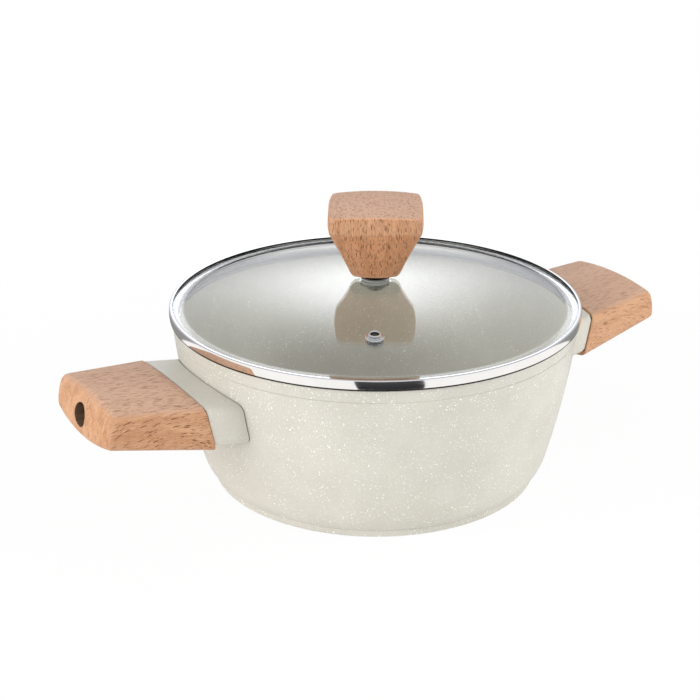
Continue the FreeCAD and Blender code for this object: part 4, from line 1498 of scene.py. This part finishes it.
    def build_grip(self) -> None:
        """The wooden grip as one closed skin: along the body, over the rounded outer edge, across
        the end face, down the bore and back over the seam face."""
        lens = Lens()
        columns = len(lens.ways()[0])
        seam = self.seam_face().moved(self.pad_thickness / 2)
        r, q = self.end_rounding, self.seam_rounding
        along = np.linspace(0.0, 1.0, self.grip_rows)
        turn = quarter_turn(self.grip_edge_steps)
        inset = np.concatenate([q * (1 - np.sin(turn[:-1])), 0 * along, r * (1 - np.cos(turn))])
        from_seam = np.concatenate([q * (1 - np.cos(turn[:-1])), 0 * along + q, 0 * turn])
        from_end = np.concatenate([0 * turn[:-1], 0 * along + r, r * (1 - np.sin(turn))])
        share = np.concatenate([0 * turn[:-1], along, 0 * turn + 1])
        grid = np.repeat(inset[:, None], columns, 1)
        start, stop, mixed = from_seam[:, None], from_end[:, None], share[:, None]

        def reach_of(across: Array, up: Array) -> Array:
            """A blend of the seam's reach and the outer end's."""
            low, high = seam.reach(across, up) + start, self.end_reach(across, up) - stop
            return low * (1 - mixed) + high * mixed

        body = self.settle(lambda x, d: self.grip_section(lens, x, d), reach_of, grid,
                           self.grip_guess)
        rim = body[-1]
        lip = self.mouth_rounding
        cap = self.disc_rows(rim, [self.access_radius + lip], self.end_reach)
        radii = [self.access_radius + lip * 0.3, self.access_radius]
        mouth = self.disc_rows(rim, radii, self.end_reach)[-2:]
        mouth[:, :, 0] -= np.array([0.35, 1.0])[:, None] * lip
        bore = self.ring_rows(rim, [
            (self.pocket_mouth, self.access_radius), (self.pocket_mouth, self.pocket_radius),
            (self.screw_seat, self.pocket_radius), (self.screw_seat, self.screw_hole_radius)])
        back = self.disc_rows(body[0], [self.screw_hole_radius], seam.reach)[::-1]
        points = np.concatenate([body, cap, mouth, bore, back])
        piece = grid_piece(f"{self.side.label}_beech_grip", self.place(points), True)
        note_facing(piece)
        dress(piece, self.shop.grip_wood, "grip_wood", "pot", f"{self.side.label}_grip")

    def build_bracket(self) -> None:
        """The hollow bracket as one closed skin: outside from the wall to the seam, across the end
        wall, through its hole and back along the inside."""
        outer = Lens()
        inner = Lens(rounding=self.hollow_rounding)
        columns = len(outer.ways()[0])
        seam = self.seam_face().moved(-self.pad_thickness / 2)
        q = self.bracket_rounding
        # rows at the wall, where the coating paints the shade of the gap
        joint = [0.0, self.joint_share, self.joint_share * 1.3]
        along = np.concatenate([joint, np.linspace(0.06, 1.0, self.bracket_rows)])
        turn = quarter_turn(self.bracket_edge_steps)
        inset = np.concatenate([0 * along, q * (1 - np.cos(turn))])
        from_end = np.concatenate([0 * along + q, q * (1 - np.sin(turn))])[:, None]
        share = np.concatenate([along, 0 * turn + 1])[:, None]

        def wall(across: Array, up: Array) -> Array:
            """Reach of the pot's wall: sqrt(r^2 - y^2)."""
            return np.sqrt(self.pot.wall_reach(up, self.bracket_gap) ** 2 - across**2)

        def outside(across: Array, up: Array) -> Array:
            """A blend of the wall's reach and the seam's."""
            return wall(across, up) * (1 - share) + (seam.reach(across, up) - from_end) * share

        skin = self.settle(lambda x, d: self.bracket_section(outer, x, d), outside,
                           np.repeat(inset[:, None], columns, 1), self.bracket_guess)
        face = self.disc_rows(skin[-1], [self.screw_hole_radius], seam.reach)
        inner_end = self.seam_top_reach - self.seam_lean - self.bracket_end_wall
        back_share = np.linspace(0.0, 1.0, self.hollow_rows)[:, None]

        def inside(across: Array, up: Array) -> Array:
            """A blend of the end wall's reach and the pot's."""
            return inner_end * (1 - back_share) + wall(across, up) * back_share

        hollow = self.settle(lambda x, d: self.bracket_section(inner, x, d), inside,
                             np.full((self.hollow_rows, columns), self.bracket_wall),
                             self.hollow_guess)
        floor = self.disc_rows(hollow[0], [self.screw_hole_radius],
                               lambda across, up: inner_end + 0 * across)[::-1]
        points = np.concatenate([skin, face, floor, hollow])
        piece = grid_piece(f"{self.side.label}_coated_bracket", self.place(points), True)
        note_joint_shade(piece, 2 * columns)
        dress(piece, self.shop.bracket_coating_painted_light, "coating", "pot", f"{self.side.label}_bracket")

    def build(self) -> None:
        """Builds the handle's pieces and dresses them and the CAD pieces that stay."""
        self.build_bracket()
        self.build_grip()
        redress(f"{self.side.label}_pad", self.shop.gasket)
        for name in ("stud", "screw", "flat_washer", "spring_washer"):
            redress(f"{self.side.label}_{name}", self.shop.fastener_steel)


# ------------------------------------------------------------------ the lid

@dataclass
class Lid:
    """The glass lid with its band, vent and knob, in millimetres."""

    shop: Workshop
    pot: Pot
    band_radius: float = 123.0
    band_barrel: float = 0.35
    sheet: float = 0.6
    hem: float = 1.1
    lip: float = 2.2
    foot_hem: float = 1.0
    foot_hem_height: float = 0.7
    hem_drop: float = 0.7
    hem_gap: float = 0.35
    skirt_gap: float = 0.8
    skirt_drop: float = 5.0
    glass: float = 4.0
    glass_gap: float = 0.2
    glass_play: float = 0.08
    dome_radius: float = 115.0
    dome_rise: float = 14.9
    dome_blend: float = 10.0
    hole_radius: float = 4.0
    vent_distance: float = 79.0
    vent_bore: float = 2.3
    vent_tube: float = 3.1
    vent_tube_gap: float = 0.3
    vent_collar: float = 3.7
    vent_collar_height: float = 3.0
    vent_flange: float = 5.4
    vent_flange_height: float = 1.1
    vent_washer: float = 5.2
    vent_washer_thickness: float = 0.8
    vent_roll: float = 4.4
    vent_roll_height: float = 0.6
    vent_gap: float = 0.05
    knob_half_width: float = 28.2
    knob_side_bow: float = 1.3
    knob_corner_share: float = 0.12
    brim_inset: float = 0.7
    foot_half_width: float = 15.5
    foot_bow: float = 2.7
    foot_corner_share: float = 0.06
    taper_height: float = 30.0
    knob_band: float = 12.0
    knob_crown: float = 1.7
    waist_rounding: float = 5.0
    brim_rounding: float = 1.2
    knob_crease: float = 40.0
    brim_steps: int = 6
    top_rows: int = 16
    taper_rows: int = 14
    seat_radius: float = 8.9
    seat_neck: float = 5.6
    seat_flange: float = 1.0
    seat_height: float = 4.6
    gasket_radius: float = 8.5
    gasket: float = 0.6
    screw_hole: float = 3.0
    insert_radius: float = 4.5
    insert_length: float = 14.0

    @property
    def glass_bottom(self) -> float:
        """Height of the flat edge's underside."""
        return self.pot.rim_height + self.sheet

    @property
    def glass_top(self) -> float:
        """Height of the flat edge's top."""
        return self.glass_bottom + self.glass

    @property
    def crown(self) -> float:
        """Height of the dome's middle."""
        return self.glass_top + self.dome_rise

    @property
    def dome_bow(self) -> float:
        """Radius of the dome's outer arc."""
        return arc_radius(self.dome_radius, self.dome_rise)

    @property
    def barrel_bow(self) -> float:
        """Radius of the band's barrelled face."""
        height = self.glass + self.sheet + self.hem + self.hem_drop
        return arc_radius(height / 2, self.band_barrel)

    @property
    def knob_bottom(self) -> float:
        """Height of the knob's foot."""
        return self.crown + self.gasket + self.seat_height

    def lid_place(self) -> Matrix:
        """The lid's turn about Z."""
        return Matrix.Rotation(math.radians(LID_TURN), 4, "Z")

    def vent_place(self) -> Matrix:
        """The vent's place on the dome, standing square to it.

        Returns:
            The matrix.
        """
        height = self.crown - float(sag(self.dome_bow, self.vent_distance))
        lean = math.asin(self.vent_distance / self.dome_bow)
        shift = Matrix.Translation((0.0, -self.vent_distance, height))
        return self.lid_place() @ shift @ Matrix.Rotation(lean, 4, "X")

    def build_glass(self) -> None:
        """The domed disc, with the knob's hole in its profile and the vent's hole cut out."""
        under = self.dome_radius - self.glass / 4
        under_bow = arc_radius(under, self.dome_rise)
        edge = self.band_radius - self.sheet - self.glass_gap
        hole = self.hole_radius
        low = self.crown - self.glass
        disc = turned_piece("domed_glass", [
            Corner(hole, low - float(sag(under_bow, hole)), 0.0, -under_bow, 36),
            Corner(under, self.glass_bottom, self.dome_blend),
            Corner(edge, self.glass_bottom, 0.4),
            Corner(edge, self.glass_top, 0.4),
            Corner(self.dome_radius, self.glass_top, self.dome_blend, self.dome_bow, 36),
            Corner(hole, self.crown - float(sag(self.dome_bow, hole)), 0.0),
        ], steps=288)
        drill = turned_piece("vent_drill", ring_corners(
            0.0, self.vent_tube + self.vent_tube_gap, -3 * self.glass, 2 * self.glass),
            steps=40, matrix=self.vent_place())
        cut = disc.modifiers.new("vent hole", "BOOLEAN")
        cut.operation = "DIFFERENCE"
        cut.solver = "EXACT"
        cut.object = drill
        bpy.context.view_layer.update()
        graph = bpy.context.evaluated_depsgraph_get()
        bored = bpy.data.meshes.new_from_object(disc.evaluated_get(graph))
        disc.modifiers.clear()
        disc.data = bored
        bpy.data.objects.remove(drill)
        dress(disc, self.shop.glass, "glass", "lid", "lid_glass")

    def build_band(self) -> None:
        """The steel band: skirt with a foot turned inwards, rest, hem round the pot's rim, slightly
        barrelled upright face and narrow rolled top lip."""
        skirt = self.pot.rim_radius - self.pot.rim_wall - self.skirt_gap
        foot = self.pot.rim_height - self.skirt_drop
        top = self.glass_top + self.hem
        lip = self.band_radius - self.lip
        inside = self.band_radius - self.sheet
        face = self.band_radius - self.band_barrel
        round_rim = self.pot.rim_radius + self.hem_gap
        hem = self.pot.rim_height - self.hem_drop
        over_glass = self.glass_top + self.glass_play
        under_glass = self.glass_bottom - self.glass_play
        band = turned_piece("steel_band", [
            Corner(skirt - self.sheet - self.foot_hem, foot, 0.25),
            Corner(skirt, foot, 0.2),
            Corner(skirt, self.pot.rim_height, 0.2),
            Corner(round_rim, self.pot.rim_height, 0.1),
            Corner(round_rim, hem, 0.25),
            Corner(face, hem, 0.5, self.barrel_bow, 10),
            Corner(face, top, 0.5),
            Corner(lip, top, 0.2),
            Corner(lip, over_glass, 0.15),
            Corner(inside, over_glass),
            Corner(inside, under_glass, 0.2),
            Corner(skirt - self.sheet, under_glass, 0.5),
            Corner(skirt - self.sheet, foot + self.foot_hem_height, 0.3),
            Corner(skirt - self.sheet - self.foot_hem, foot + self.foot_hem_height, 0.25),
        ], steps=320, arc_steps=8)
        dress(band, self.shop.band_steel, "band_steel", "lid", "lid_rim")

    def build_vent(self) -> None:
        """The eyelet and the washer that it is rolled over under the glass."""
        washer_top = -(self.glass + self.vent_tube_gap)
        washer_low = washer_top - self.vent_washer_thickness - self.vent_gap
        roll_low = washer_low - self.vent_roll_height
        eyelet = turned_piece("polished_vent_eyelet", [
            Corner(self.vent_bore, roll_low, 0.3),
            Corner(self.vent_roll, roll_low, 0.25),
            Corner(self.vent_roll, washer_low, 0.1),
            Corner(self.vent_tube, washer_low, 0.1),
            Corner(self.vent_tube, self.vent_gap, 0.1),
            Corner(self.vent_flange, self.vent_gap, 0.1),
            Corner(self.vent_flange, self.vent_flange_height, 0.55),
            Corner(self.vent_collar, self.vent_flange_height, 0.35),
            Corner(self.vent_collar, self.vent_collar_height, 0.6),
            Corner(self.vent_bore, self.vent_collar_height, 0.6),
        ], steps=96, matrix=self.vent_place())
        dress(eyelet, self.shop.vent_steel, "vent_steel", "lid", "vent_eyelet")
        washer = turned_piece("vent_backing_washer", ring_corners(
            self.vent_tube + self.vent_gap, self.vent_washer,
            washer_top - self.vent_washer_thickness, washer_top, 0.05, 0.2),
            steps=96, matrix=self.vent_place())
        dress(washer, self.shop.vent_steel, "vent_steel", "lid", "vent_washer")

    @staticmethod
    def cushion(half_width: Array, bow: Array, share: Array, inset: Array,
                steps: tuple[int, int] = (22, 8)) -> Array:
        """Outlines of a square with bowed sides and round corners, one per row.

        On the side that faces along the first axis the points lie on an arc of radius
        (e^2 + b^2) / 2b through the corners at +-e; the corner arc runs on from it with radius
        (f - e) / (cos a - sin a), where f is the half width less the bow and sin a = e / R. The
        other three sides are the same turned by quarters, and each point moves inwards by inset
        along its normal.

        Args:
            half_width: Half width at the middle of a side, one per row.
            bow: Bow of the sides, one per row.
            share: Corner size as a share of the half width, one per row.
            inset: How far the outline is drawn in, one per row.
            steps: Columns per side and per corner.

        Returns:
            Rows by columns by 2.
        """
        half, bow, share, inset = (
            np.asarray(a, float)[:, None] for a in (half_width, bow, share, inset))
        flat = half - bow
        reach = flat - share * half
        side = arc_radius(reach, bow)
        lean = np.arcsin(reach / side)
        corner = (flat - reach) / (np.cos(lean) - np.sin(lean))
        t = np.arange(steps[0]) / steps[0]
        u = np.arange(steps[1]) / steps[1]
        side_angle = -lean + 2 * lean * t
        corner_angle = lean + (math.pi / 2 - 2 * lean) * u
        side_points = np.stack([half - side + (side - inset) * np.cos(side_angle),
                                (side - inset) * np.sin(side_angle)], -1)
        middle = flat - corner * np.cos(lean)
        height = reach - corner * np.sin(lean)
        corner_points = np.stack([middle + (corner - inset) * np.cos(corner_angle),
                                  height + (corner - inset) * np.sin(corner_angle)], -1)
        quarter = np.concatenate([side_points, corner_points], 1)
        turns = [np.array([[math.cos(a), -math.sin(a)], [math.sin(a), math.cos(a)]])
                 for a in np.arange(4) * math.pi / 2]
        return np.concatenate([quarter @ turn.T for turn in turns], 1)

    def knob_rows(self) -> tuple[Array, Array, Array, Array]:
        """Sizes of the knob's rows from the foot to the brim.

        Returns:
            Height, half width, bow and corner share of every row.
        """
        waist = self.knob_bottom + self.taper_height
        rise = self.knob_band - self.knob_crown - self.brim_rounding
        slope = math.atan((self.knob_half_width - self.foot_half_width) / self.taper_height)
        cut = self.waist_rounding * math.tan(slope / 2)
        brim = self.knob_half_width - self.brim_inset * rise / self.knob_band
        path = profile([
            Corner(self.foot_half_width, self.knob_bottom),
            Corner(self.knob_half_width, waist, self.waist_rounding),
            Corner(brim, waist + rise),
        ], False, 10)
        lower = path[0] + (path[1] - path[0]) * np.linspace(0.0, 1.0, self.taper_rows)[:-1, None]
        path = np.concatenate([lower, path[1:]])
        share = np.clip((path[:, 1] - self.knob_bottom) / (self.taper_height - cut), 0.0, 1.0)
        bow = self.foot_bow + (self.knob_side_bow - self.foot_bow) * share
        corner = self.foot_corner_share + (self.knob_corner_share - self.foot_corner_share) * share
        return path[:, 1], path[:, 0], bow, corner

    def build_knob(self) -> None:
        """The wooden knob as one closed skin: up its sides, over the rounded brim, across the
        crowned top to a pole, and from the foot up the bore to another."""
        height, half, bow, corner = self.knob_rows()
        turn = quarter_turn(self.brim_steps)
        b = self.brim_rounding
        sides = self.cushion(half, bow, corner, 0 * half)
        columns = sides.shape[1]
        ones = np.ones(len(turn))
        brim = self.cushion(ones * half[-1], ones * bow[-1], ones * corner[-1],
                            b * (1 - np.cos(turn)))
        crown_bow = arc_radius(self.knob_half_width, self.knob_crown)
        summit = self.knob_bottom + self.taper_height + self.knob_band

        def roof(flat: Array) -> Array:
            """Height of the crowned top: its summit less the sag at that distance."""
            return summit - sag(crown_bow, np.hypot(flat[..., 0], flat[..., 1]))

        edge = roof(self.cushion(half[-1:], bow[-1:], corner[-1:], np.array([b])))
        level = np.repeat(height[:, None], columns, 1)
        level[-1] = edge - b
        middle = (sides[-1] + sides[-2]) / 2
        sides = np.concatenate([sides[:-1], middle[None], sides[-1:]])
        level = np.concatenate([level[:-1], (level[-1:] + level[-2:-1]) / 2, level[-1:]])
        brim_level = edge - b * (1 - np.sin(turn))[:, None]
        inner = np.linspace(1.0, 0.0, self.top_rows)[1:, None, None] * brim[-1]
        top = np.concatenate([inner, roof(inner)[..., None]], -1)
        angle = np.arctan2(sides[0, :, 1], sides[0, :, 0])
        ring = np.stack([np.cos(angle), np.sin(angle)], -1)
        foot = np.stack([sides[0] * (1 - t) + ring * self.insert_radius * t
                         for t in (0.03, 0.3, 0.6, 0.9, 1.0)])
        foot = np.concatenate([foot, np.full(foot.shape[:2] + (1,), self.knob_bottom)], -1)
        bore = np.stack([ring * self.insert_radius * share for share in (1.0, 0.5, 0.0)])
        bore_top = self.knob_bottom + self.insert_length
        bore = np.concatenate([bore, np.full(bore.shape[:2] + (1,), bore_top)], -1)
        points = np.concatenate([
            bore[::-1], foot[::-1],
            np.concatenate([sides, level[..., None]], -1),
            np.concatenate([brim, brim_level[..., None]], -1),
            top])
        points = placed(points, self.lid_place())
        piece = grid_piece("beech_knob", points, False, (True, True), self.knob_crease)
        note_facing(piece, LID_TURN)
        dress(piece, self.shop.knob_wood, "knob_wood", "lid", "knob")

    def build_seat(self) -> None:
        """The steel collar under the knob and the gasket that it stands on."""
        low = self.crown + self.gasket
        seat = turned_piece("knob_collar", [
            Corner(self.screw_hole, low, 0.1),
            Corner(self.seat_radius, low, 0.15),
            Corner(self.seat_radius, low + self.seat_flange, 0.5),
            Corner(self.seat_neck, low + self.seat_flange, 0.4),
            Corner(self.seat_neck, self.knob_bottom, 0.1),
            Corner(self.screw_hole, self.knob_bottom, 0.1),
        ], steps=128)
        dress(seat, self.shop.seat_steel, "seat_steel", "lid", "knob_seat")
        gasket = turned_piece("upper_knob_gasket", ring_corners(
            self.screw_hole, self.gasket_radius, self.crown, low, 0.1, 0.2), steps=128)
        dress(gasket, self.shop.clear_gasket, "gasket", "lid", "knob_gasket_upper")

    def build(self) -> None:
        """Builds the lid's pieces and dresses them and the CAD pieces that stay."""
        self.build_glass()
        self.build_band()
        self.build_vent()
        self.build_knob()
        self.build_seat()
        redress("knob_gasket_lower", self.shop.clear_gasket)
        redress("knob_washer", self.shop.fastener_steel)
        redress("knob_screw", self.shop.fastener_steel)
        redress("knob_insert", self.shop.brass)


# ------------------------------------------------------------------ the studio

@dataclass(frozen=True)
class SoftBox:
    """A square soft box: its name, place, size across and power, in metres and watts."""

    name: str
    place: Triple
    size: float
    power: float


@dataclass
class Studio:
    """Floor, soft light and camera; lengths in metres and angles in degrees."""

    camera_place: Triple = (-0.48666, -0.76535, 0.44805)
    camera_way: Triple = (0.48304, 0.78825, -0.38123)
    lens: float = 83.13
    sensor: float = 36.0
    boxes: tuple[SoftBox, ...] = (
        SoftBox("left_box", (-2.2, -0.1, 0.9), 1.4, 37.5),
        SoftBox("right_box", (1.3, -1.5, 0.9), 1.3, 25.0),
    )
    aim_height: float = 0.07
    floor_half: float = 6.0
    floor_drop: float = 0.0002
    floor_colour: Colour = (0.93, 0.93, 0.93)
    floor_dark: Colour = (0.03, 0.03, 0.035)
    under_pan: Range = (0.15, 0.24, 0.12, 1.0)
    behind_pan: Range = (0.095, 0.12, 1.0, 0.16)
    far_behind: Range = (0.27, 0.36, 0.0, 1.0)
    floor_light: Range = (0.2, 0.5, 0.95, 1.0)
    flag_turn: float = 7.0
    flag_height: float = 0.004
    flag_near: float = 0.235
    flag_far: float = 2.6
    flag_near_half: float = 0.058
    flag_spread: float = 0.318
    flag_colour: Colour = (0.01, 0.01, 0.012)
    glow: float = 2.3
    glow_spread: float = 10.0
    glow_low: float = 4.0
    glow_height: float = 26.5
    glow_high: float = 47.0
    glow_colour: Colour = (0.95, 0.97, 1.02)
    sky: Range = (30.0, 52.0, 0.80, 0.66)
    zenith: Range = (54.0, 66.0, 0.0, 0.38)
    fill: float = 0.50
    fill_rise: float = 0.12

    def ahead(self) -> tuple[float, float]:
        """The camera's level heading as a unit vector."""
        east, north = self.camera_way[:2]
        return east / math.hypot(east, north), north / math.hypot(east, north)

    def build_camera(self) -> None:
        """The camera, level and aimed along camera_way."""
        data = bpy.data.cameras.new("camera")
        data.lens = self.lens
        data.sensor_width = self.sensor
        data.clip_start, data.clip_end = 0.01, 50.0
        camera = new_object("camera", data)
        camera.location = self.camera_place
        camera.rotation_euler = Vector(self.camera_way).to_track_quat("-Z", "Y").to_euler()
        bpy.context.scene.camera = camera

    @staticmethod
    def flat_card(name: str, corners: Array) -> bpy.types.Object:
        """A flat four-cornered stage piece.

        Args:
            name: Name of the card.
            corners: Its four corners in metres.

        Returns:
            The card.
        """
        mesh = bpy.data.meshes.new(name)
        mesh.from_pydata(corners.tolist(), [], [(0, 1, 2, 3)])
        card = new_object(name, mesh)
        return card

    def build_floor(self) -> None:
        """A pale floor that is white to the eye and keeps a soft shadow.

        Polished things see it shaded under the pan, and dark in a belt behind it.
        """
        corners = np.array([(-1, -1), (1, -1), (1, 1), (-1, 1)]) * self.floor_half
        floor = self.flat_card("floor", np.column_stack([corners, np.full(4, -self.floor_drop)]))
        g = Graph.of_material("pale_floor")
        ray = g.node("ShaderNodeLightPath").outputs
        reach = g.reach()
        ahead = g.vector_math("DOT_PRODUCT", g.place, (*self.ahead(), 0.0))
        beyond = g.most(g.span(ahead, *self.behind_pan), g.span(ahead, *self.far_behind))
        shaded = g.times(g.span(reach, *self.under_pan), beyond)
        seen = g.most(ray["Is Camera Ray"], ray["Is Transmission Ray"])
        mirrored = g.math("MINIMUM", ray["Glossy Depth"], 1.0)
        shut = g.times(mirrored, g.minus(1.0, beyond))
        colour = g.mix(shut, self.floor_colour, self.floor_dark)
        plain = g.node("ShaderNodeBsdfDiffuse", colour).outputs[0]
        bare = g.math("SUBTRACT", seen, mirrored, clamp=True)
        direct = g.times(bare, g.span(reach, *self.floor_light))
        glow = g.node("ShaderNodeEmission").outputs[0]
        share = g.most(direct, g.times(mirrored, shaded))
        floor.data.materials.append(g.finish(g.blend(share, plain, glow)))

    def build_flag(self) -> None:
        """A black card on the floor before the pan that only polished metal sees."""
        aim = math.atan2(self.camera_place[1], self.camera_place[0]) + math.radians(self.flag_turn)
        way = np.array([math.cos(aim), math.sin(aim), 0.0])
        across = np.array([-way[1], way[0], 0.0])
        far_half = self.flag_near_half + (self.flag_far - self.flag_near) * self.flag_spread
        reach = np.array([self.flag_near, self.flag_near, self.flag_far, self.flag_far])[:, None]
        half = np.array([-self.flag_near_half, self.flag_near_half, far_half, -far_half])[:, None]
        card = self.flat_card("flag", way * reach + across * half + (0.0, 0.0, self.flag_height))
        for kind in ("camera", "diffuse", "transmission", "shadow"):
            setattr(card, f"visible_{kind}", False)
        g = Graph.of_material("black_card")
        card.data.materials.append(g.finish(g.shade(Base_Color=self.flag_colour, Roughness=0.9)))

    def build_world(self) -> None:
        """A plain pale surround, with a soft glow low behind the pan for glossy things.

        At d degrees off the camera's heading the glow is exp(-(d / glow_spread)^2), and it eases in
        and out with height.
        """
        world = bpy.data.worlds.new("surround")
        bpy.context.scene.world = world
        g = Graph(world, "Generated")
        east, north, up = g.split(g.place)
        ahead = self.ahead()
        beside = g.minus(g.times(east, ahead[1]), g.times(north, ahead[0]))
        onward = g.plus(g.times(east, ahead[0]), g.times(north, ahead[1]))
        off = g.math("DEGREES", g.math("ARCTAN2", beside, onward))
        height = g.math("DEGREES", g.math("ARCSINE", up))
        spread = g.math("DIVIDE", off, self.glow_spread)
        lobe = g.math("POWER", math.e, g.times(spread, spread, -1.0))
        rise = g.span(height, self.glow_low, self.glow_height - 1.0)
        fall = g.span(height, self.glow_height + 1.0, self.glow_high, 1.0, 0.0)
        glow = g.times(g.times(lobe, self.glow), g.times(rise, fall))
        shine = g.plus(g.span(height, *self.sky), g.span(height, *self.zenith), glow)
        ray = g.node("ShaderNodeLightPath").outputs
        mirrored = g.times(g.math("MINIMUM", ray["Glossy Depth"], 1.0),
                           g.math("LESS_THAN", ray["Diffuse Depth"], 0.5))
        seen = g.most(ray["Is Camera Ray"], ray["Is Transmission Ray"])
        plain = g.plus(g.times(up, self.fill_rise), self.fill)
        behind = g.plus(seen, g.times(g.minus(1.0, seen), plain))
        strength = g.plus(g.times(mirrored, shine), g.times(g.minus(1.0, mirrored), behind))
        colour = g.mix(mirrored, (1.0, 1.0, 1.0), self.glow_colour)
        g.finish(g.node("ShaderNodeBackground", colour, strength).outputs[0])

    def build_lamp(self, box: SoftBox) -> None:
        """A soft box that points at the pan and isn't mirrored in it.

        Args:
            box: Its place and power.
        """
        data = bpy.data.lights.new(box.name, "AREA")
        data.shape = "SQUARE"
        data.size = box.size
        data.energy = box.power
        lamp = new_object(box.name, data)
        lamp.location = box.place
        way = Vector((0.0, 0.0, self.aim_height)) - Vector(box.place)
        lamp.rotation_euler = way.to_track_quat("-Z", "Y").to_euler()
        lamp.visible_glossy = False
        lamp.visible_transmission = False

    def build(self) -> None:
        """Builds the studio."""
        bpy.context.scene.view_settings.view_transform = "Standard"
        self.build_camera()
        self.build_floor()
        self.build_flag()
        self.build_world()
        for box in self.boxes:
            self.build_lamp(box)


def main() -> None:
    """Builds the studio and the pan in order."""
    logging.basicConfig(level=logging.INFO, format="%(name)s: %(message)s")
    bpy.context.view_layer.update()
    Studio().build()
    shop = Workshop()
    pot = Pot(shop)
    pot.build()
    for side in Side:
        Handle(shop, pot, side).build()
    Lid(shop, pot).build()


if __name__ == "__main__":
    main()
